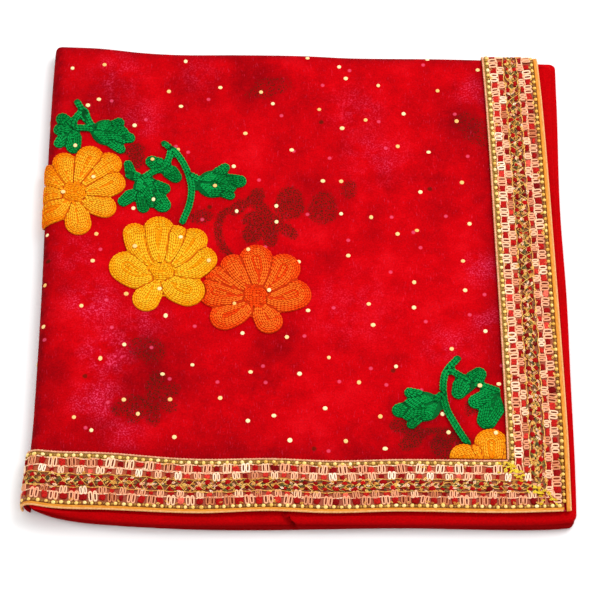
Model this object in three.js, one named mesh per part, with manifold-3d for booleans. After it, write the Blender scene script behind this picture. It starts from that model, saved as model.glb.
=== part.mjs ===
// A net chunri, a long red net stole with lace borders and chain-stitched flowers, folded into a
// flat square packet that rests on a table. Millimetres, +Z up: +X runs to the right along the
// packet's front edge, +Y runs to its back, and the table is at z = 0.
//
// The top layer is a thin wall that rolls over the packet's left and back folds. Its place is
// worked out by netPoint() from two lengths on the cloth, and lace and embroidery are made in
// the same two lengths, so that they lie on the net wherever it bends.
import * as THREE from 'three';
import { mergeVertices } from 'three/addons/utils/BufferGeometryUtils.js';
import Module from 'manifold-3d';

const wasm = await Module();
wasm.setup();

// ---------------------------------------------------------------- driving dimensions, in mm

const LEFT = -140; // nominal square of the top layer: two folds ...
const BACK = 143;
const RIGHT = 135; // ... and two lace edges
const FRONT = -142;
const NET_TOP = 11.6; // the top layer's outer face over the table
const NET_WALL = 1.1;
const NET_TUCK = 1; // how far the net ends inside the lace's outer edge
const ROLL = 5.8; // outer radius of the left and back folds
const ROLL_TURN = THREE.MathUtils.degToRad(150);
const ROLL_STEPS = 6;
const NET_STEPS = 18;
const SEAM = 0.35; // gap between two pieces that are sewn or laid together

const LACE_WIDTH = 32.2; // with its edge band
const LACE_BASE = 1;
const LACE_PITCH = 9.8; // one wire loop and one red square
const BAND_WIDTH = 3.9; // satin band and cord along the lace's outer edge
const TRIM_TURN = THREE.MathUtils.degToRad(120); // how far lace and flowers go round a fold
const TRIM_STEPS = 5;

const STITCH_BASE = 0.8; // thickness of the embroidery at its rim
const STITCH_CROWN = 0.5; // and what its middle adds
const STEM_HALF = 2;

const HIDDEN_TOP = 9.9; // top of the hidden layers, under the net
const HIDDEN_LIP = 10.4; // where they show beside the lace
const NOTCH = { x: -7, half: 2.5, deep: 1.6 }; // a small pleat in the front folds

const CENTRE = { x: -2.375, y: 1.456 }; // middle of the packet's outline in these measures

// Edges of the top layer, seen from above: x of its sides by y, and y of its ends by x.
const LEFT_FOLD = [
  { y: -142, x: -144.4 }, { y: -125, x: -143.3 }, { y: -107, x: -142.2 }, { y: -90, x: -141.5 },
  { y: -20, x: -140.6 }, { y: 45, x: -140.7 }, { y: 112, x: -140.1 }, { y: 148, x: -139.1 },
];
const LACE_RIGHT = [
  { y: -142, x: 138.2 }, { y: -91, x: 138.2 }, { y: 26, x: 135.6 }, { y: 108, x: 133.2 },
  { y: 146, x: 131.2 },
];
const LACE_FRONT = [
  { x: -145, y: -136.4 }, { x: -125, y: -140.3 }, { x: -97, y: -141.4 }, { x: -53, y: -143.3 },
  { x: -17, y: -142 }, { x: 14, y: -143.2 }, { x: 49, y: -142.3 }, { x: 101, y: -143.1 },
  { x: 138, y: -142 },
];
const BACK_FOLD = [
  { x: -140, y: 150.7 }, { x: -114, y: 149.4 }, { x: -91, y: 146.5 }, { x: -69, y: 145 },
  { x: -35, y: 144.9 }, { x: 0, y: 144.3 }, { x: 30, y: 142.7 }, { x: 80, y: 142.1 },
  { x: 132, y: 140.5 },
];
// Outermost edges of the hidden layers, where they show beyond the lace.
const HIDDEN_RIGHT = [
  { y: -140, x: 140.4 }, { y: -77, x: 141.5 }, { y: -14, x: 141.1 }, { y: 43, x: 140.5 },
  { y: 122, x: 141 }, { y: 142, x: 141.5 },
];
const HIDDEN_FRONT = [
  { x: -139, y: -136.2 }, { x: -128, y: -140.7 }, { x: -112, y: -144 }, { x: -87, y: -146.2 },
  { x: -50, y: -147.4 }, { x: 50, y: -147 }, { x: 110, y: -147.4 }, { x: 132, y: -146.4 },
  { x: 138, y: -144.2 }, { x: 141, y: -140.8 },
];
// The hidden layers' own folds, from the top one down: height of its underside, and how far its
// nose stands in from the outermost edge at the right and at the front.
const FOLDS = [
  { under: 8.0, right: 3.1, front: 2.6 },
  { under: 5.4, right: 0.1, front: 1.0 },
  { under: 2.8, right: 0.7, front: 0.0 },
  { under: 0.0, right: 0.4, front: 0.6 },
];
const FOLD_DIP = 0.6; // depth of the groove between two folds

// Soft swells and troughs of the top layer: place, half-length, half-width, direction, height.
const SWELLS = [
  { x: -95, y: 118, long: 46, wide: 20, turn: 10, high: 0.4 },
  { x: 20, y: 112, long: 60, wide: 21, turn: -14, high: 0.5 },
  { x: 70, y: 60, long: 46, wide: 20, turn: 28, high: 0.55 },
  { x: -15, y: 35, long: 34, wide: 20, turn: -20, high: 0.35 },
  { x: 55, y: -15, long: 50, wide: 22, turn: 8, high: 0.4 },
  { x: -100, y: -50, long: 42, wide: 22, turn: -32, high: 0.55 },
  { x: -30, y: -70, long: 52, wide: 21, turn: 15, high: 0.5 },
  { x: 40, y: -90, long: 40, wide: 20, turn: -8, high: -0.2 },
  { x: -60, y: 10, long: 40, wide: 24, turn: 30, high: 0.3 },
  { x: 85, y: -70, long: 30, wide: 22, turn: 60, high: 0.3 },
];

// Width of the front lace along the packet; the right lace keeps LACE_WIDTH.
const FRONT_LACE_WIDTH = [
  { x: -150, wide: 31 }, { x: -110, wide: 32.8 }, { x: -60, wide: 31.2 }, { x: 0, wide: 30.2 },
  { x: 140, wide: 30.8 },
];
// Rows across the lace, from its inner edge: relief over the base, what a wire loop adds to it,
// and the row's shift along the lace as a part of the pitch.
const LACE_ROWS = [
  { at: 0, high: 0.1, loop: 0, shift: 0 }, // copper edge cord
  { at: 1.7, high: 0.6, loop: 0, shift: 0 }, // bead row
  { at: 3, high: 0, loop: 0, shift: 0 },
  { at: 5.5, high: 0.2, loop: 0.6, shift: 0 }, // large wire loops and red squares
  { at: 8, high: 0, loop: 0, shift: 0 },
  { at: 10.1, high: 0.15, loop: 0.5, shift: 0.5 }, // small ones, half a pitch on
  { at: 12.2, high: 0, loop: 0, shift: 0 },
  { at: 14.6, high: 0.3, loop: 0.2, shift: 0 }, // zigzag threads
  { at: 17, high: 0, loop: 0, shift: 0 },
  { at: 19.1, high: 0.15, loop: 0.5, shift: 0.5 },
  { at: 21.2, high: 0, loop: 0, shift: 0 },
  { at: 23.7, high: 0.2, loop: 0.6, shift: 0 },
  { at: 26.2, high: 0, loop: 0, shift: 0 },
  { at: 27.4, high: 0.6, loop: 0, shift: 0 }, // bead row
  { at: 28, high: 0.2, loop: 0, shift: 0 },
];
const BAND_ROWS = [
  { at: 28.3, high: 0, loop: 0, shift: 0 },
  { at: 28.8, high: 0.3, loop: 0, shift: 0 }, // satin band
  { at: 30.8, high: 0.3, loop: 0, shift: 0 },
  { at: 31.2, high: 0, loop: 0, shift: 0 },
  { at: 31.7, high: 0.45, loop: 0, shift: 0 }, // outer cord
  { at: LACE_WIDTH, high: 0, loop: 0, shift: 0 },
];

// Flowers: middle and radius on the cloth, and their petals from the left one round over the top:
// direction from the back, reach, half-width (as parts of the radius) and bend along the petal.
const FLOWERS = [
  {
    name: 'flower_left', a: -124.4, b: 45.4, radius: 28.6, color: 0xff9a1a,
    petals: [
      [134, 1.02, 0.3, -20], [95, 0.95, 0.27, -20], [58, 0.95, 0.22, -12], [20, 0.91, 0.23, -8],
      [-18, 1.11, 0.27, -4], [-41, 1.2, 0.245, -6], [-73, 1.03, 0.26, 16], [-117, 0.87, 0.24, 10],
      [-171, 0.91, 0.25, 0],
    ],
  },
  {
    name: 'flower_yellow', a: -76, b: -0.3, radius: 30, color: 0xffb01c,
    petals: [
      [96, 0.94, 0.33, -36], [41, 1.12, 0.22, -28], [6, 1.15, 0.28, -8], [-23, 1.02, 0.23, 14],
      [-45, 1.13, 0.25, 16], [-79, 1.04, 0.26, 32], [-134, 0.9, 0.31, 20], [155, 0.87, 0.24, 0],
    ],
  },
  {
    name: 'flower_orange', a: -26, b: -15, radius: 30.4, color: 0xff4a18,
    petals: [
      [85, 1, 0.3, -10], [60, 1, 0.2, -8], [33, 0.96, 0.225, -4], [-6, 1.04, 0.3, 16],
      [-47, 1.05, 0.29, 18], [-93, 0.98, 0.3, 22], [-155, 0.8, 0.24, 0], [131, 0.92, 0.27, -14],
    ],
  },
  {
    name: 'flower_corner', a: 95, b: -122.6, radius: 28, color: 0xffa41c,
    petals: [
      [92, 1, 0.27, -24], [50, 0.94, 0.27, -10], [22, 0.8, 0.17, 0], [0, 1.05, 0.31, 0],
      [-42, 1.02, 0.28, 20], [-86, 1, 0.27, 24], [-134, 0.94, 0.27, 24], [-180, 0.86, 0.24, 0],
      [134, 0.94, 0.27, -24],
    ],
  },
];
const PETAL_HEAD = 90; // the direction that petals are counted from
const PETAL_ROOT = 0.12; // where a petal starts, as a part of the radius
const FLOWER_EYE = 0.24; // radius of the middle disc, as a part of the radius

// Leaf sprigs: stems as routes with a few hand-placed points, and lobes with their root on the
// cloth, direction, length and half-width.
const SPRIGS = [
  {
    name: 'sprig_left',
    clearOf: 'flower_left',
    stems: [
      [[-125, 103.5], [-121, 96.5], [-115.5, 87.5]],
      [[-122.7, 97.4], [-126, 92], [-127, 87]],
      [[-127, 87], [-121, 87], [-114.5, 87]],
    ],
    lobes: [
      { a: -124, b: 102, turn: -62, long: 13, half: 3.2 },
      { a: -127.5, b: 86.5, turn: 132, long: 11.5, half: 4.7 },
      { a: -127, b: 86.5, turn: 190, long: 10.5, half: 4.6 },
      { a: -128.5, b: 85, turn: 238, long: 13, half: 3.7 },
      { a: -127.5, b: 86, turn: 278, long: 15.5, half: 5.2 },
      { a: -115, b: 86, turn: -6, long: 20, half: 8.2 },
      { a: -109.5, b: 86, turn: 38, long: 13.5, half: 3.6 },
      { a: -107, b: 84.5, turn: -6, long: 15, half: 4.2 },
      { a: -109, b: 83, turn: -40, long: 14.5, half: 3.8 },
    ],
  },
  {
    name: 'sprig_middle',
    clearOf: 'flower_yellow',
    stems: [
      [[-76, 80.8], [-69.5, 75.5], [-63.2, 64], [-60.5, 52.5], [-61.5, 42], [-65, 31.5]],
      [[-72, 78], [-73.4, 70.5], [-76, 65.6], [-82, 62], [-87, 58]],
      [[-61, 61], [-55, 57.5]],
    ],
    lobes: [
      { a: -76.5, b: 65.5, turn: 150, long: 10.5, half: 4.8 },
      { a: -75, b: 66, turn: -48, long: 12, half: 4.6 },
      { a: -87, b: 58.5, turn: 174, long: 10, half: 3 },
      { a: -92.8, b: 57, turn: 106, long: 12, half: 3.1 },
      { a: -87, b: 55, turn: -14, long: 15.5, half: 4.4 },
      { a: -86.5, b: 55, turn: -52, long: 21.5, half: 5.9 },
      { a: -88, b: 56, turn: -85, long: 20, half: 4.3 },
      { a: -88, b: 58, turn: -62, long: 20, half: 7.6 },
      { a: -89.5, b: 50.5, turn: 226, long: 14.5, half: 3.9 },
      { a: -55.5, b: 56.5, turn: -8, long: 20, half: 8.7 },
      { a: -50, b: 59, turn: 42, long: 13, half: 3.6 },
      { a: -46, b: 57, turn: 0, long: 15.5, half: 4.9 },
      { a: -48, b: 53.5, turn: -33, long: 13, half: 3.4 },
    ],
  },
  {
    name: 'sprig_right',
    clearOf: 'flower_corner',
    stems: [
      [[79.5, -52], [73.3, -60], [71.4, -69.5], [72.6, -81], [76.8, -91], [82.8, -102]],
      [[75, -58.5], [81, -62.5], [90, -67], [99, -70.5]],
      [[71, -73], [66.5, -77.5]],
    ],
    lobes: [
      { a: 82.5, b: -63.5, turn: 250, long: 13, half: 4.7 },
      { a: 85.5, b: -66.5, turn: 50, long: 11.5, half: 5 },
      { a: 99.5, b: -72.5, turn: 203, long: 16.5, half: 5.2 },
      { a: 99, b: -74, turn: 248, long: 20.5, half: 6.5 },
      { a: 67, b: -78, turn: 203, long: 19.5, half: 8.8 },
      { a: 63, b: -76, turn: 158, long: 12.5, half: 3.7 },
      { a: 60, b: -81.5, turn: 187, long: 15.5, half: 5.2 },
      { a: 61, b: -83, turn: 232, long: 13, half: 3.3 },
    ],
  },
];

const COLOR = { net: 0xc4000e, hidden: 0xb0000c, lace: 0xdda65a, band: 0xf0a63c, leaf: 0x079048 };

// ---------------------------------------------------------------- the top layer's surface

// Smooth reading of a table between its rows; the columns are given by name.
function readTable(rows, at, value, x) {
  const last = rows.length - 1;
  if (x <= rows[0][at]) return rows[0][value];
  if (x >= rows[last][at]) return rows[last][value];
  const i = rows.findIndex((row) => row[at] > x) - 1;
  const slope = (k) => {
    const before = rows[Math.max(k - 1, 0)];
    const after = rows[Math.min(k + 1, last)];
    return (after[value] - before[value]) / (after[at] - before[at]);
  };
  const run = rows[i + 1][at] - rows[i][at];
  const t = (x - rows[i][at]) / run;
  const rise = t * t * (3 - 2 * t);
  const bend = run * t * (1 - t) * (slope(i) * (1 - t) - slope(i + 1) * t);
  return rows[i][value] + (rows[i + 1][value] - rows[i][value]) * rise + bend;
}

// From the nominal square to the packet's real outline, seen from above.
function plan(a, b) {
  const u = (a - LEFT) / (RIGHT - LEFT);
  const v = (b - FRONT) / (BACK - FRONT);
  const left = readTable(LEFT_FOLD, 'y', 'x', b);
  const right = readTable(LACE_RIGHT, 'y', 'x', b);
  const front = readTable(LACE_FRONT, 'x', 'y', a);
  const back = readTable(BACK_FOLD, 'x', 'y', a);
  return new THREE.Vector2(left + (right - left) * u, front + (back - front) * v);
}

function swell(x, y) {
  let z = 0;
  for (const { x: cx, y: cy, long, wide, turn, high } of SWELLS) {
    const angle = THREE.MathUtils.degToRad(turn);
    const along = (x - cx) * Math.cos(angle) + (y - cy) * Math.sin(angle);
    const across = (y - cy) * Math.cos(angle) - (x - cx) * Math.sin(angle);
    z += high * Math.exp(-((along / long) ** 2) - (across / wide) ** 2);
  }
  return z;
}

const LEFT_ROLL = LEFT + ROLL; // where the two rolls start on the cloth
const BACK_ROLL = BACK - ROLL;
const ROLL_RUN = ROLL * ROLL_TURN; // and how far the cloth runs round them
const TRIM_RUN = ROLL * TRIM_TURN;

// A point on the net's outer face, moved out by lift: a and b are lengths along the cloth to the
// right and to the back, which leave the flat top where a < LEFT_ROLL or b > BACK_ROLL.
function netPoint(a, b, lift = 0) {
  const pastLeft = Math.max(0, LEFT_ROLL - a);
  const pastBack = Math.max(0, b - BACK_ROLL);
  const run = Math.max(pastLeft, pastBack);
  const turn = run / ROLL;
  let out = new THREE.Vector2();
  let reach = 0;
  if (run > 0) {
    const part = (Math.min(pastLeft, pastBack) / run) * (Math.PI / 4);
    const angle = pastLeft >= pastBack ? part : Math.PI / 2 - part;
    out = new THREE.Vector2(-Math.cos(angle), Math.sin(angle));
    reach = (ROLL * Math.sin(turn)) / (out.x ** 4 + out.y ** 4) ** 0.25;
  }
  const spot = plan(Math.max(a, LEFT_ROLL) + out.x * reach, Math.min(b, BACK_ROLL) + out.y * reach);
  const fade = Math.max(0, Math.cos(Math.min(turn, Math.PI / 2)));
  const step = 0.5;
  const slopeX = (swell(spot.x + step, spot.y) - swell(spot.x - step, spot.y)) / (2 * step);
  const slopeY = (swell(spot.x, spot.y + step) - swell(spot.x, spot.y - step)) / (2 * step);
  const normal = new THREE.Vector3(
    out.x * Math.sin(turn) - slopeX * fade,
    out.y * Math.sin(turn) - slopeY * fade,
    Math.cos(turn),
  ).normalize();
  const z = NET_TOP - ROLL + ROLL * Math.cos(turn) + swell(spot.x, spot.y) * fade;
  return new THREE.Vector3(spot.x, spot.y, z).addScaledVector(normal, lift);
}

// ---------------------------------------------------------------- closed meshes

function steps(from, to, count) {
  return Array.from({ length: count + 1 }, (_, i) => from + ((to - from) * i) / count);
}

// A geometry from points and triangles, turned so that its faces point out.
function closedGeometry(points, triangles) {
  let volume = 0;
  for (const [i, j, k] of triangles) {
    volume += points[i].dot(new THREE.Vector3().crossVectors(points[j], points[k]));
  }
  const faces = volume > 0 ? triangles : triangles.map(([i, j, k]) => [i, k, j]);
  const geometry = new THREE.BufferGeometry().setFromPoints(points);
  geometry.setIndex(faces.flat());
  geometry.computeVertexNormals();
  return geometry;
}

// Triangles that close an end section, as places in it.
function capOfOutline(outline) {
  const sense = Math.sign(THREE.ShapeUtils.area(outline));
  return THREE.ShapeUtils.triangulateShape(outline, []).map(([i, j, k]) => (
    Math.sign(THREE.ShapeUtils.area([outline[i], outline[j], outline[k]])) === sense
      ? [i, j, k] : [i, k, j]
  ));
}

// The same for a section that runs out along one row of places and back along another.
function capOfRows(out, back) {
  const triangles = [];
  const behind = (j) => out.length + back.length - 1 - j;
  let i = 0;
  let j = 0;
  while (i + 1 < out.length || j + 1 < back.length) {
    const stepOut = j + 1 >= back.length || (i + 1 < out.length && out[i + 1] <= back[j + 1]);
    triangles.push([i, stepOut ? i + 1 : behind(j + 1), behind(j)]);
    if (stepOut) i += 1;
    else j += 1;
  }
  return triangles;
}

// A solid from sections of equal count: neighbours are joined by quads, and each end section is
// closed by the cap's triangles, or from its middle where no cap is given.
function sectionSolid(sections, cap) {
  const count = sections[0].length;
  const points = sections.flat();
  const triangles = [];
  for (let row = 0; row + 1 < sections.length; row += 1) {
    for (let i = 0; i < count; i += 1) {
      const j = (i + 1) % count;
      const here = row * count;
      const next = here + count;
      triangles.push([here + i, here + j, next + i], [here + j, next + j, next + i]);
    }
  }
  const end = (sections.length - 1) * count;
  if (cap) {
    for (const [i, j, k] of cap) triangles.push([i, k, j], [end + i, end + j, end + k]);
    return closedGeometry(points, triangles);
  }
  const middle = (section) => section
    .reduce((sum, p) => sum.add(p), new THREE.Vector3()).divideScalar(count);
  points.push(middle(sections[0]), middle(sections.at(-1)));
  for (let i = 0; i < count; i += 1) {
    const j = (i + 1) % count;
    triangles.push([j, i, points.length - 2], [end + i, end + j, points.length - 1]);
  }
  return closedGeometry(points, triangles);
}

// ---------------------------------------------------------------- net and hidden layers

function netTop() {
  const alongA = [
    ...steps(LEFT_ROLL - ROLL_RUN, LEFT_ROLL, ROLL_STEPS),
    ...steps(LEFT_ROLL, RIGHT - NET_TUCK, NET_STEPS).slice(1),
  ];
  const alongB = [
    ...steps(FRONT + NET_TUCK, BACK_ROLL, NET_STEPS),
    ...steps(BACK_ROLL, BACK_ROLL + ROLL_RUN, ROLL_STEPS).slice(1),
  ];
  const backwards = [...alongB].reverse();
  const section = (a) => [
    ...alongB.map((b) => netPoint(a, b)),
    ...backwards.map((b) => netPoint(a, b, -NET_WALL)),
  ];
  return sectionSolid(alongA.map(section), capOfRows(alongB, alongB));
}

// A square path with small rounded corners, as parts 0 to 1 of the packet's width and depth. Its
// places are the net's own, so that the two bend at the same points.
function roundedSquare(corner) {
  const parts = (places, from, to) => places.map((s) => (s - from) / (to - from));
  const arc = [1, 2].map((k) => (k / 3) * (Math.PI / 2));
  const notch = [-1, 0, 1].map((k) => NOTCH.x + k * NOTCH.half);
  const wide = parts(steps(LEFT_ROLL, RIGHT - NET_TUCK, NET_STEPS), LEFT, RIGHT);
  const deep = parts(steps(FRONT + NET_TUCK, BACK_ROLL, NET_STEPS), FRONT, BACK);
  const front = [...wide, ...parts(notch, LEFT, RIGHT)].sort((p, q) => p - q);
  const kept = (s) => s > 1.5 * corner && s < 1 - 1.5 * corner;
  const turned = (s) => corner * (1 - Math.sin(s));
  const other = (s) => corner * (1 - Math.cos(s));
  const side = (places) => [corner, ...places.filter(kept), 1 - corner];
  return [
    ...side(front).map((u) => [u, 0]),
    ...arc.map((s) => [1 - turned(s), other(s)]),
    ...side(deep).map((v) => [1, v]),
    ...arc.map((s) => [1 - other(s), 1 - turned(s)]),
    ...side(wide).reverse().map((u) => [u, 1]),
    ...arc.map((s) => [turned(s), 1 - other(s)]),
    ...side(deep).reverse().map((v) => [0, v]),
    ...arc.map((s) => [other(s), turned(s)]),
  ];
}

// All layers below the net in one solid: round along the two folds that the net rolls over, and
// layered, fold on fold, along the front and the right.
function foldedLayers() {
  const path = roundedSquare(0.012);
  const middle = NET_TOP - ROLL;
  const inner = ROLL - NET_WALL - 0.5;
  const roundIn = (z) => ROLL - Math.sqrt(Math.max(0, inner ** 2 - (z - middle) ** 2));
  const ring = ({ z, right, front }) => path.map(([u, v]) => {
    const a = LEFT + (RIGHT - LEFT) * u;
    const b = FRONT + (BACK - FRONT) * v;
    const sides = {
      left: readTable(LEFT_FOLD, 'y', 'x', b) + roundIn(z),
      right: right(b),
      front: front(a),
      back: readTable(BACK_FOLD, 'x', 'y', a) - roundIn(z),
    };
    return new THREE.Vector3(
      sides.left + (sides.right - sides.left) * u,
      sides.front + (sides.back - sides.front) * v,
      z,
    );
  });
  const laceRight = (b, add) => readTable(LACE_RIGHT, 'y', 'x', b) + add;
  const laceFront = (a, add) => readTable(LACE_FRONT, 'x', 'y', a) - add;
  const notch = (a, k) => (k > 0 ? NOTCH.deep * Math.exp(-(((a - NOTCH.x) / NOTCH.half) ** 2)) : 0);
  const nose = (k, inset) => ({
    right: (b) => readTable(HIDDEN_RIGHT, 'y', 'x', b) - FOLDS[k].right - inset
      + 0.3 * Math.sin(b / 19 + 2 * k),
    front: (a) => readTable(HIDDEN_FRONT, 'x', 'y', a) + FOLDS[k].front + inset + notch(a, k)
      + 0.3 * Math.sin(a / 23 + 2 * k),
  });
  const rings = [
    { z: HIDDEN_TOP, right: (b) => laceRight(b, -1.6), front: (a) => laceFront(a, -1.6) },
    { z: HIDDEN_TOP, right: (b) => laceRight(b, -0.9), front: (a) => laceFront(a, -0.9) },
  ];
  let over = HIDDEN_LIP;
  FOLDS.forEach(({ under }, k) => {
    const high = over - under;
    const top = nose(k, 0.3);
    const outer = {
      right: (b) => Math.max(top.right(b), laceRight(b, 0.4)),
      front: (a) => Math.min(top.front(a), laceFront(a, 0.4)),
    };
    rings.push({ z: over - high * 0.22, ...(k === 0 ? outer : top) });
    rings.push({ z: under + high * 0.25, ...nose(k, 0) });
    if (k + 1 < FOLDS.length) rings.push({ z: under, ...nose(k, FOLD_DIP) });
    over = under;
  });
  rings.push({ z: 0, ...nose(FOLDS.length - 1, 0.9) });
  return sectionSolid(rings.map(ring));
}

// ---------------------------------------------------------------- lace borders

function frontLacePoint(across, along, lift) {
  const wide = readTable(FRONT_LACE_WIDTH, 'x', 'wide', along);
  return netPoint(along, FRONT + wide * (1 - across / LACE_WIDTH), lift);
}

function rightLacePoint(across, along, lift) {
  return netPoint(RIGHT - LACE_WIDTH + across, along, lift);
}

// A strip of lace with its rows in relief over a plain back, made from the net's points.
function laceStrip(place, along, rows) {
  const wave = (s, shift) => 0.5 + 0.5 * Math.cos(2 * Math.PI * (s / LACE_PITCH + shift));
  const height = (row, s) => SEAM + LACE_BASE + row.high + row.loop * wave(s, row.shift);
  const out = rows.map((row) => row.at);
  const back = out.filter((_, i) => i % 7 === 0 || i === rows.length - 1);
  const section = (s) => [
    ...rows.map((row) => place(row.at, s, height(row, s))),
    ...[...back].reverse().map((at) => place(at, s, SEAM)),
  ];
  return sectionSolid(along.map(section), capOfRows(out, back));
}

// Places along a lace that starts at from and ends round a roll: every step on the flat.
function lacePlaces(from, roll, sense, step) {
  const flat = [from];
  let s = sense * (Math.floor((sense * from) / step) + 1) * step;
  while (sense * (roll - s) > step / 3) {
    if (Math.abs(s - from) > step / 3) flat.push(s);
    s += sense * step;
  }
  return [...flat, ...steps(roll, roll + sense * TRIM_RUN, TRIM_STEPS)];
}

// ---------------------------------------------------------------- embroidery

function spineFrame(points, i) {
  const before = points[Math.max(i - 1, 0)];
  const after = points[Math.min(i + 1, points.length - 1)];
  const along = new THREE.Vector2().subVectors(after, before).normalize();
  return { along, side: new THREE.Vector2(-along.y, along.x) };
}

// Outline of a rounded stroke: both sides of a spine with its half-widths, and a round tip.
function strokeOutline(spine, halves, grow = 0) {
  const last = spine.length - 1;
  const { along } = spineFrame(spine, last);
  const edge = (sign) => spine.map((p, i) => (
    p.clone().addScaledVector(spineFrame(spine, i).side, sign * (halves[i] + grow))
  ));
  const tipAngle = Math.atan2(along.y, along.x);
  const tip = [-45, 0, 45].map((deg) => {
    const angle = tipAngle + THREE.MathUtils.degToRad(deg);
    const reach = halves[last] + grow;
    return new THREE.Vector2(Math.cos(angle), Math.sin(angle)).multiplyScalar(reach).add(spine[last]);
  });
  return [...edge(-1), ...tip, ...edge(1).reverse()];
}

// A pillow on that outline, on the flat cloth: a rim and a raised crown inside it.
function strokePillow(spine, halves, { grow = 0, low = 0, rim = STITCH_BASE, crown = STITCH_CROWN }) {
  const outline = strokeOutline(spine, halves, grow);
  const inside = strokeOutline(spine, halves.map((half) => half * 0.45), grow * 0.45);
  const at = (points, z) => points.map((p) => new THREE.Vector3(p.x, p.y, z));
  const sections = [at(outline, low), at(outline, rim), at(inside, rim + crown)];
  return sectionSolid(sections, capOfOutline(outline));
}

function petalSpine({ a, b, radius }, [turn, reach, half, bend]) {
  const first = PETAL_ROOT * radius;
  const last = (reach - half) * radius;
  return [0, 0.3, 0.65, 1].map((t) => {
    const angle = THREE.MathUtils.degToRad(PETAL_HEAD + turn + bend * (t - 0.7));
    const away = first + (last - first) * t;
    return new THREE.Vector2(a + away * Math.cos(angle), b + away * Math.sin(angle));
  });
}

const petalHalves = (radius, half) => [0.4, 0.72, 0.95, 1].map((part) => part * half * radius);

function lobeSpine({ a, b, turn, long, half }) {
  const angle = THREE.MathUtils.degToRad(turn);
  return [0, 0.5, 1].map((t) => (
    new THREE.Vector2(Math.cos(angle), Math.sin(angle))
      .multiplyScalar(t * (long - half * 0.8)).add(new THREE.Vector2(a, b))
  ));
}

const lobeHalves = (half) => [0.3, 1, 0.8].map((part) => part * half);

function toSolid(geometry) {
  const plain = geometry.clone();
  plain.deleteAttribute('normal');
  plain.deleteAttribute('uv');
  const merged = mergeVertices(plain, 1e-4);
  return new wasm.Manifold(new wasm.Mesh({
    numProp: 3,
    vertProperties: new Float32Array(merged.attributes.position.array),
    triVerts: new Uint32Array(merged.index.array),
  }));
}

const joined = (geometries) => geometries.map(toSolid).reduce((all, one) => all.add(one));

function flowerSolid(flower, shape = {}) {
  const { a, b, radius } = flower;
  const petals = flower.petals.map((petal) => (
    strokePillow(petalSpine(flower, petal), petalHalves(radius, petal[2]), shape)
  ));
  const eye = strokePillow(
    [new THREE.Vector2(a - 1.5, b), new THREE.Vector2(a, b), new THREE.Vector2(a + 1.5, b)],
    [0.8, 1, 0.85].map((part) => part * FLOWER_EYE * radius),
    { ...shape, crown: (shape.crown ?? STITCH_CROWN) + 0.1 },
  );
  return joined([...petals, eye]);
}

// The space that a flower takes up, with a seam's gap all round.
const flowerSpace = (flower) => flowerSolid(flower, { grow: SEAM, low: -1, rim: 3, crown: 1 });

function box(fromA, toA, fromB, toB) {
  const geometry = new THREE.BoxGeometry(toA - fromA, toB - fromB, 8);
  geometry.translate((fromA + toA) / 2, (fromB + toB) / 2, 1);
  return toSolid(geometry);
}

// Cuts every triangle of a flat-lying solid where it crosses a = at, so that it can bend there.
function creaseAt(points, triangles, at) {
  const middles = new Map();
  const middle = (i, j) => {
    const key = i < j ? `${i} ${j}` : `${j} ${i}`;
    if (!middles.has(key)) {
      const t = (at - points[i].x) / (points[j].x - points[i].x);
      points.push(points[i].clone().lerp(points[j], t));
      middles.set(key, points.length - 1);
    }
    return middles.get(key);
  };
  const side = (i) => Math.sign(Math.abs(points[i].x - at) < 1e-3 ? 0 : points[i].x - at);
  return triangles.flatMap((corners) => {
    const sides = corners.map(side);
    if (!sides.includes(1) || !sides.includes(-1)) return [corners];
    const alone = sides.findIndex((s) => (
      sides.includes(0) ? s === 0 : sides.filter((other) => other === s).length === 1));
    const [i, j, k] = [0, 1, 2].map((n) => corners[(alone + n) % 3]);
    if (sides.includes(0)) {
      const m = middle(j, k);
      return [[i, j, m], [i, m, k]];
    }
    const m = middle(i, j);
    const n = middle(i, k);
    return [[i, m, n], [m, j, k], [m, k, n]];
  });
}

// From a solid on the flat cloth to a closed geometry that lies on the net.
function layOnNet(solid) {
  const mesh = solid.getMesh();
  const points = [];
  for (let i = 0; i < mesh.numVert; i += 1) {
    points.push(new THREE.Vector3().fromArray(mesh.vertProperties, i * mesh.numProp));
  }
  let triangles = [];
  for (let i = 0; i < mesh.numTri; i += 1) triangles.push([...mesh.triVerts.slice(3 * i, 3 * i + 3)]);
  for (const a of steps(LEFT_ROLL - TRIM_RUN, LEFT_ROLL, TRIM_STEPS).slice(1)) {
    triangles = creaseAt(points, triangles, a);
  }
  return closedGeometry(points.map((p) => netPoint(p.x, p.y, SEAM + p.z)), triangles);
}

const flowerNamed = (name) => FLOWERS.find((flower) => flower.name === name);
const PAST = 60; // well beyond any flower

// What a solid keeps beside the two laces.
function besideLaces(solid, { a, b }) {
  const laceLeft = RIGHT - LACE_WIDTH - SEAM;
  const laceBack = FRONT + readTable(FRONT_LACE_WIDTH, 'x', 'wide', a) + SEAM;
  return solid
    .subtract(box(laceLeft, laceLeft + PAST, b - PAST, b + PAST))
    .subtract(box(a - PAST, a + PAST, laceBack - PAST, laceBack));
}

function trimmedFlower(flower) {
  const foldEnd = LEFT_ROLL - TRIM_RUN;
  let solid = flowerSolid(flower);
  if (flower.name === 'flower_left') {
    solid = solid.subtract(box(foldEnd - PAST, foldEnd, flower.b - PAST, flower.b + PAST));
  }
  if (flower.name === 'flower_orange') solid = solid.subtract(flowerSpace(flowerNamed('flower_yellow')));
  if (flower.name === 'flower_corner') solid = besideLaces(solid, flower);
  return solid;
}

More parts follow.
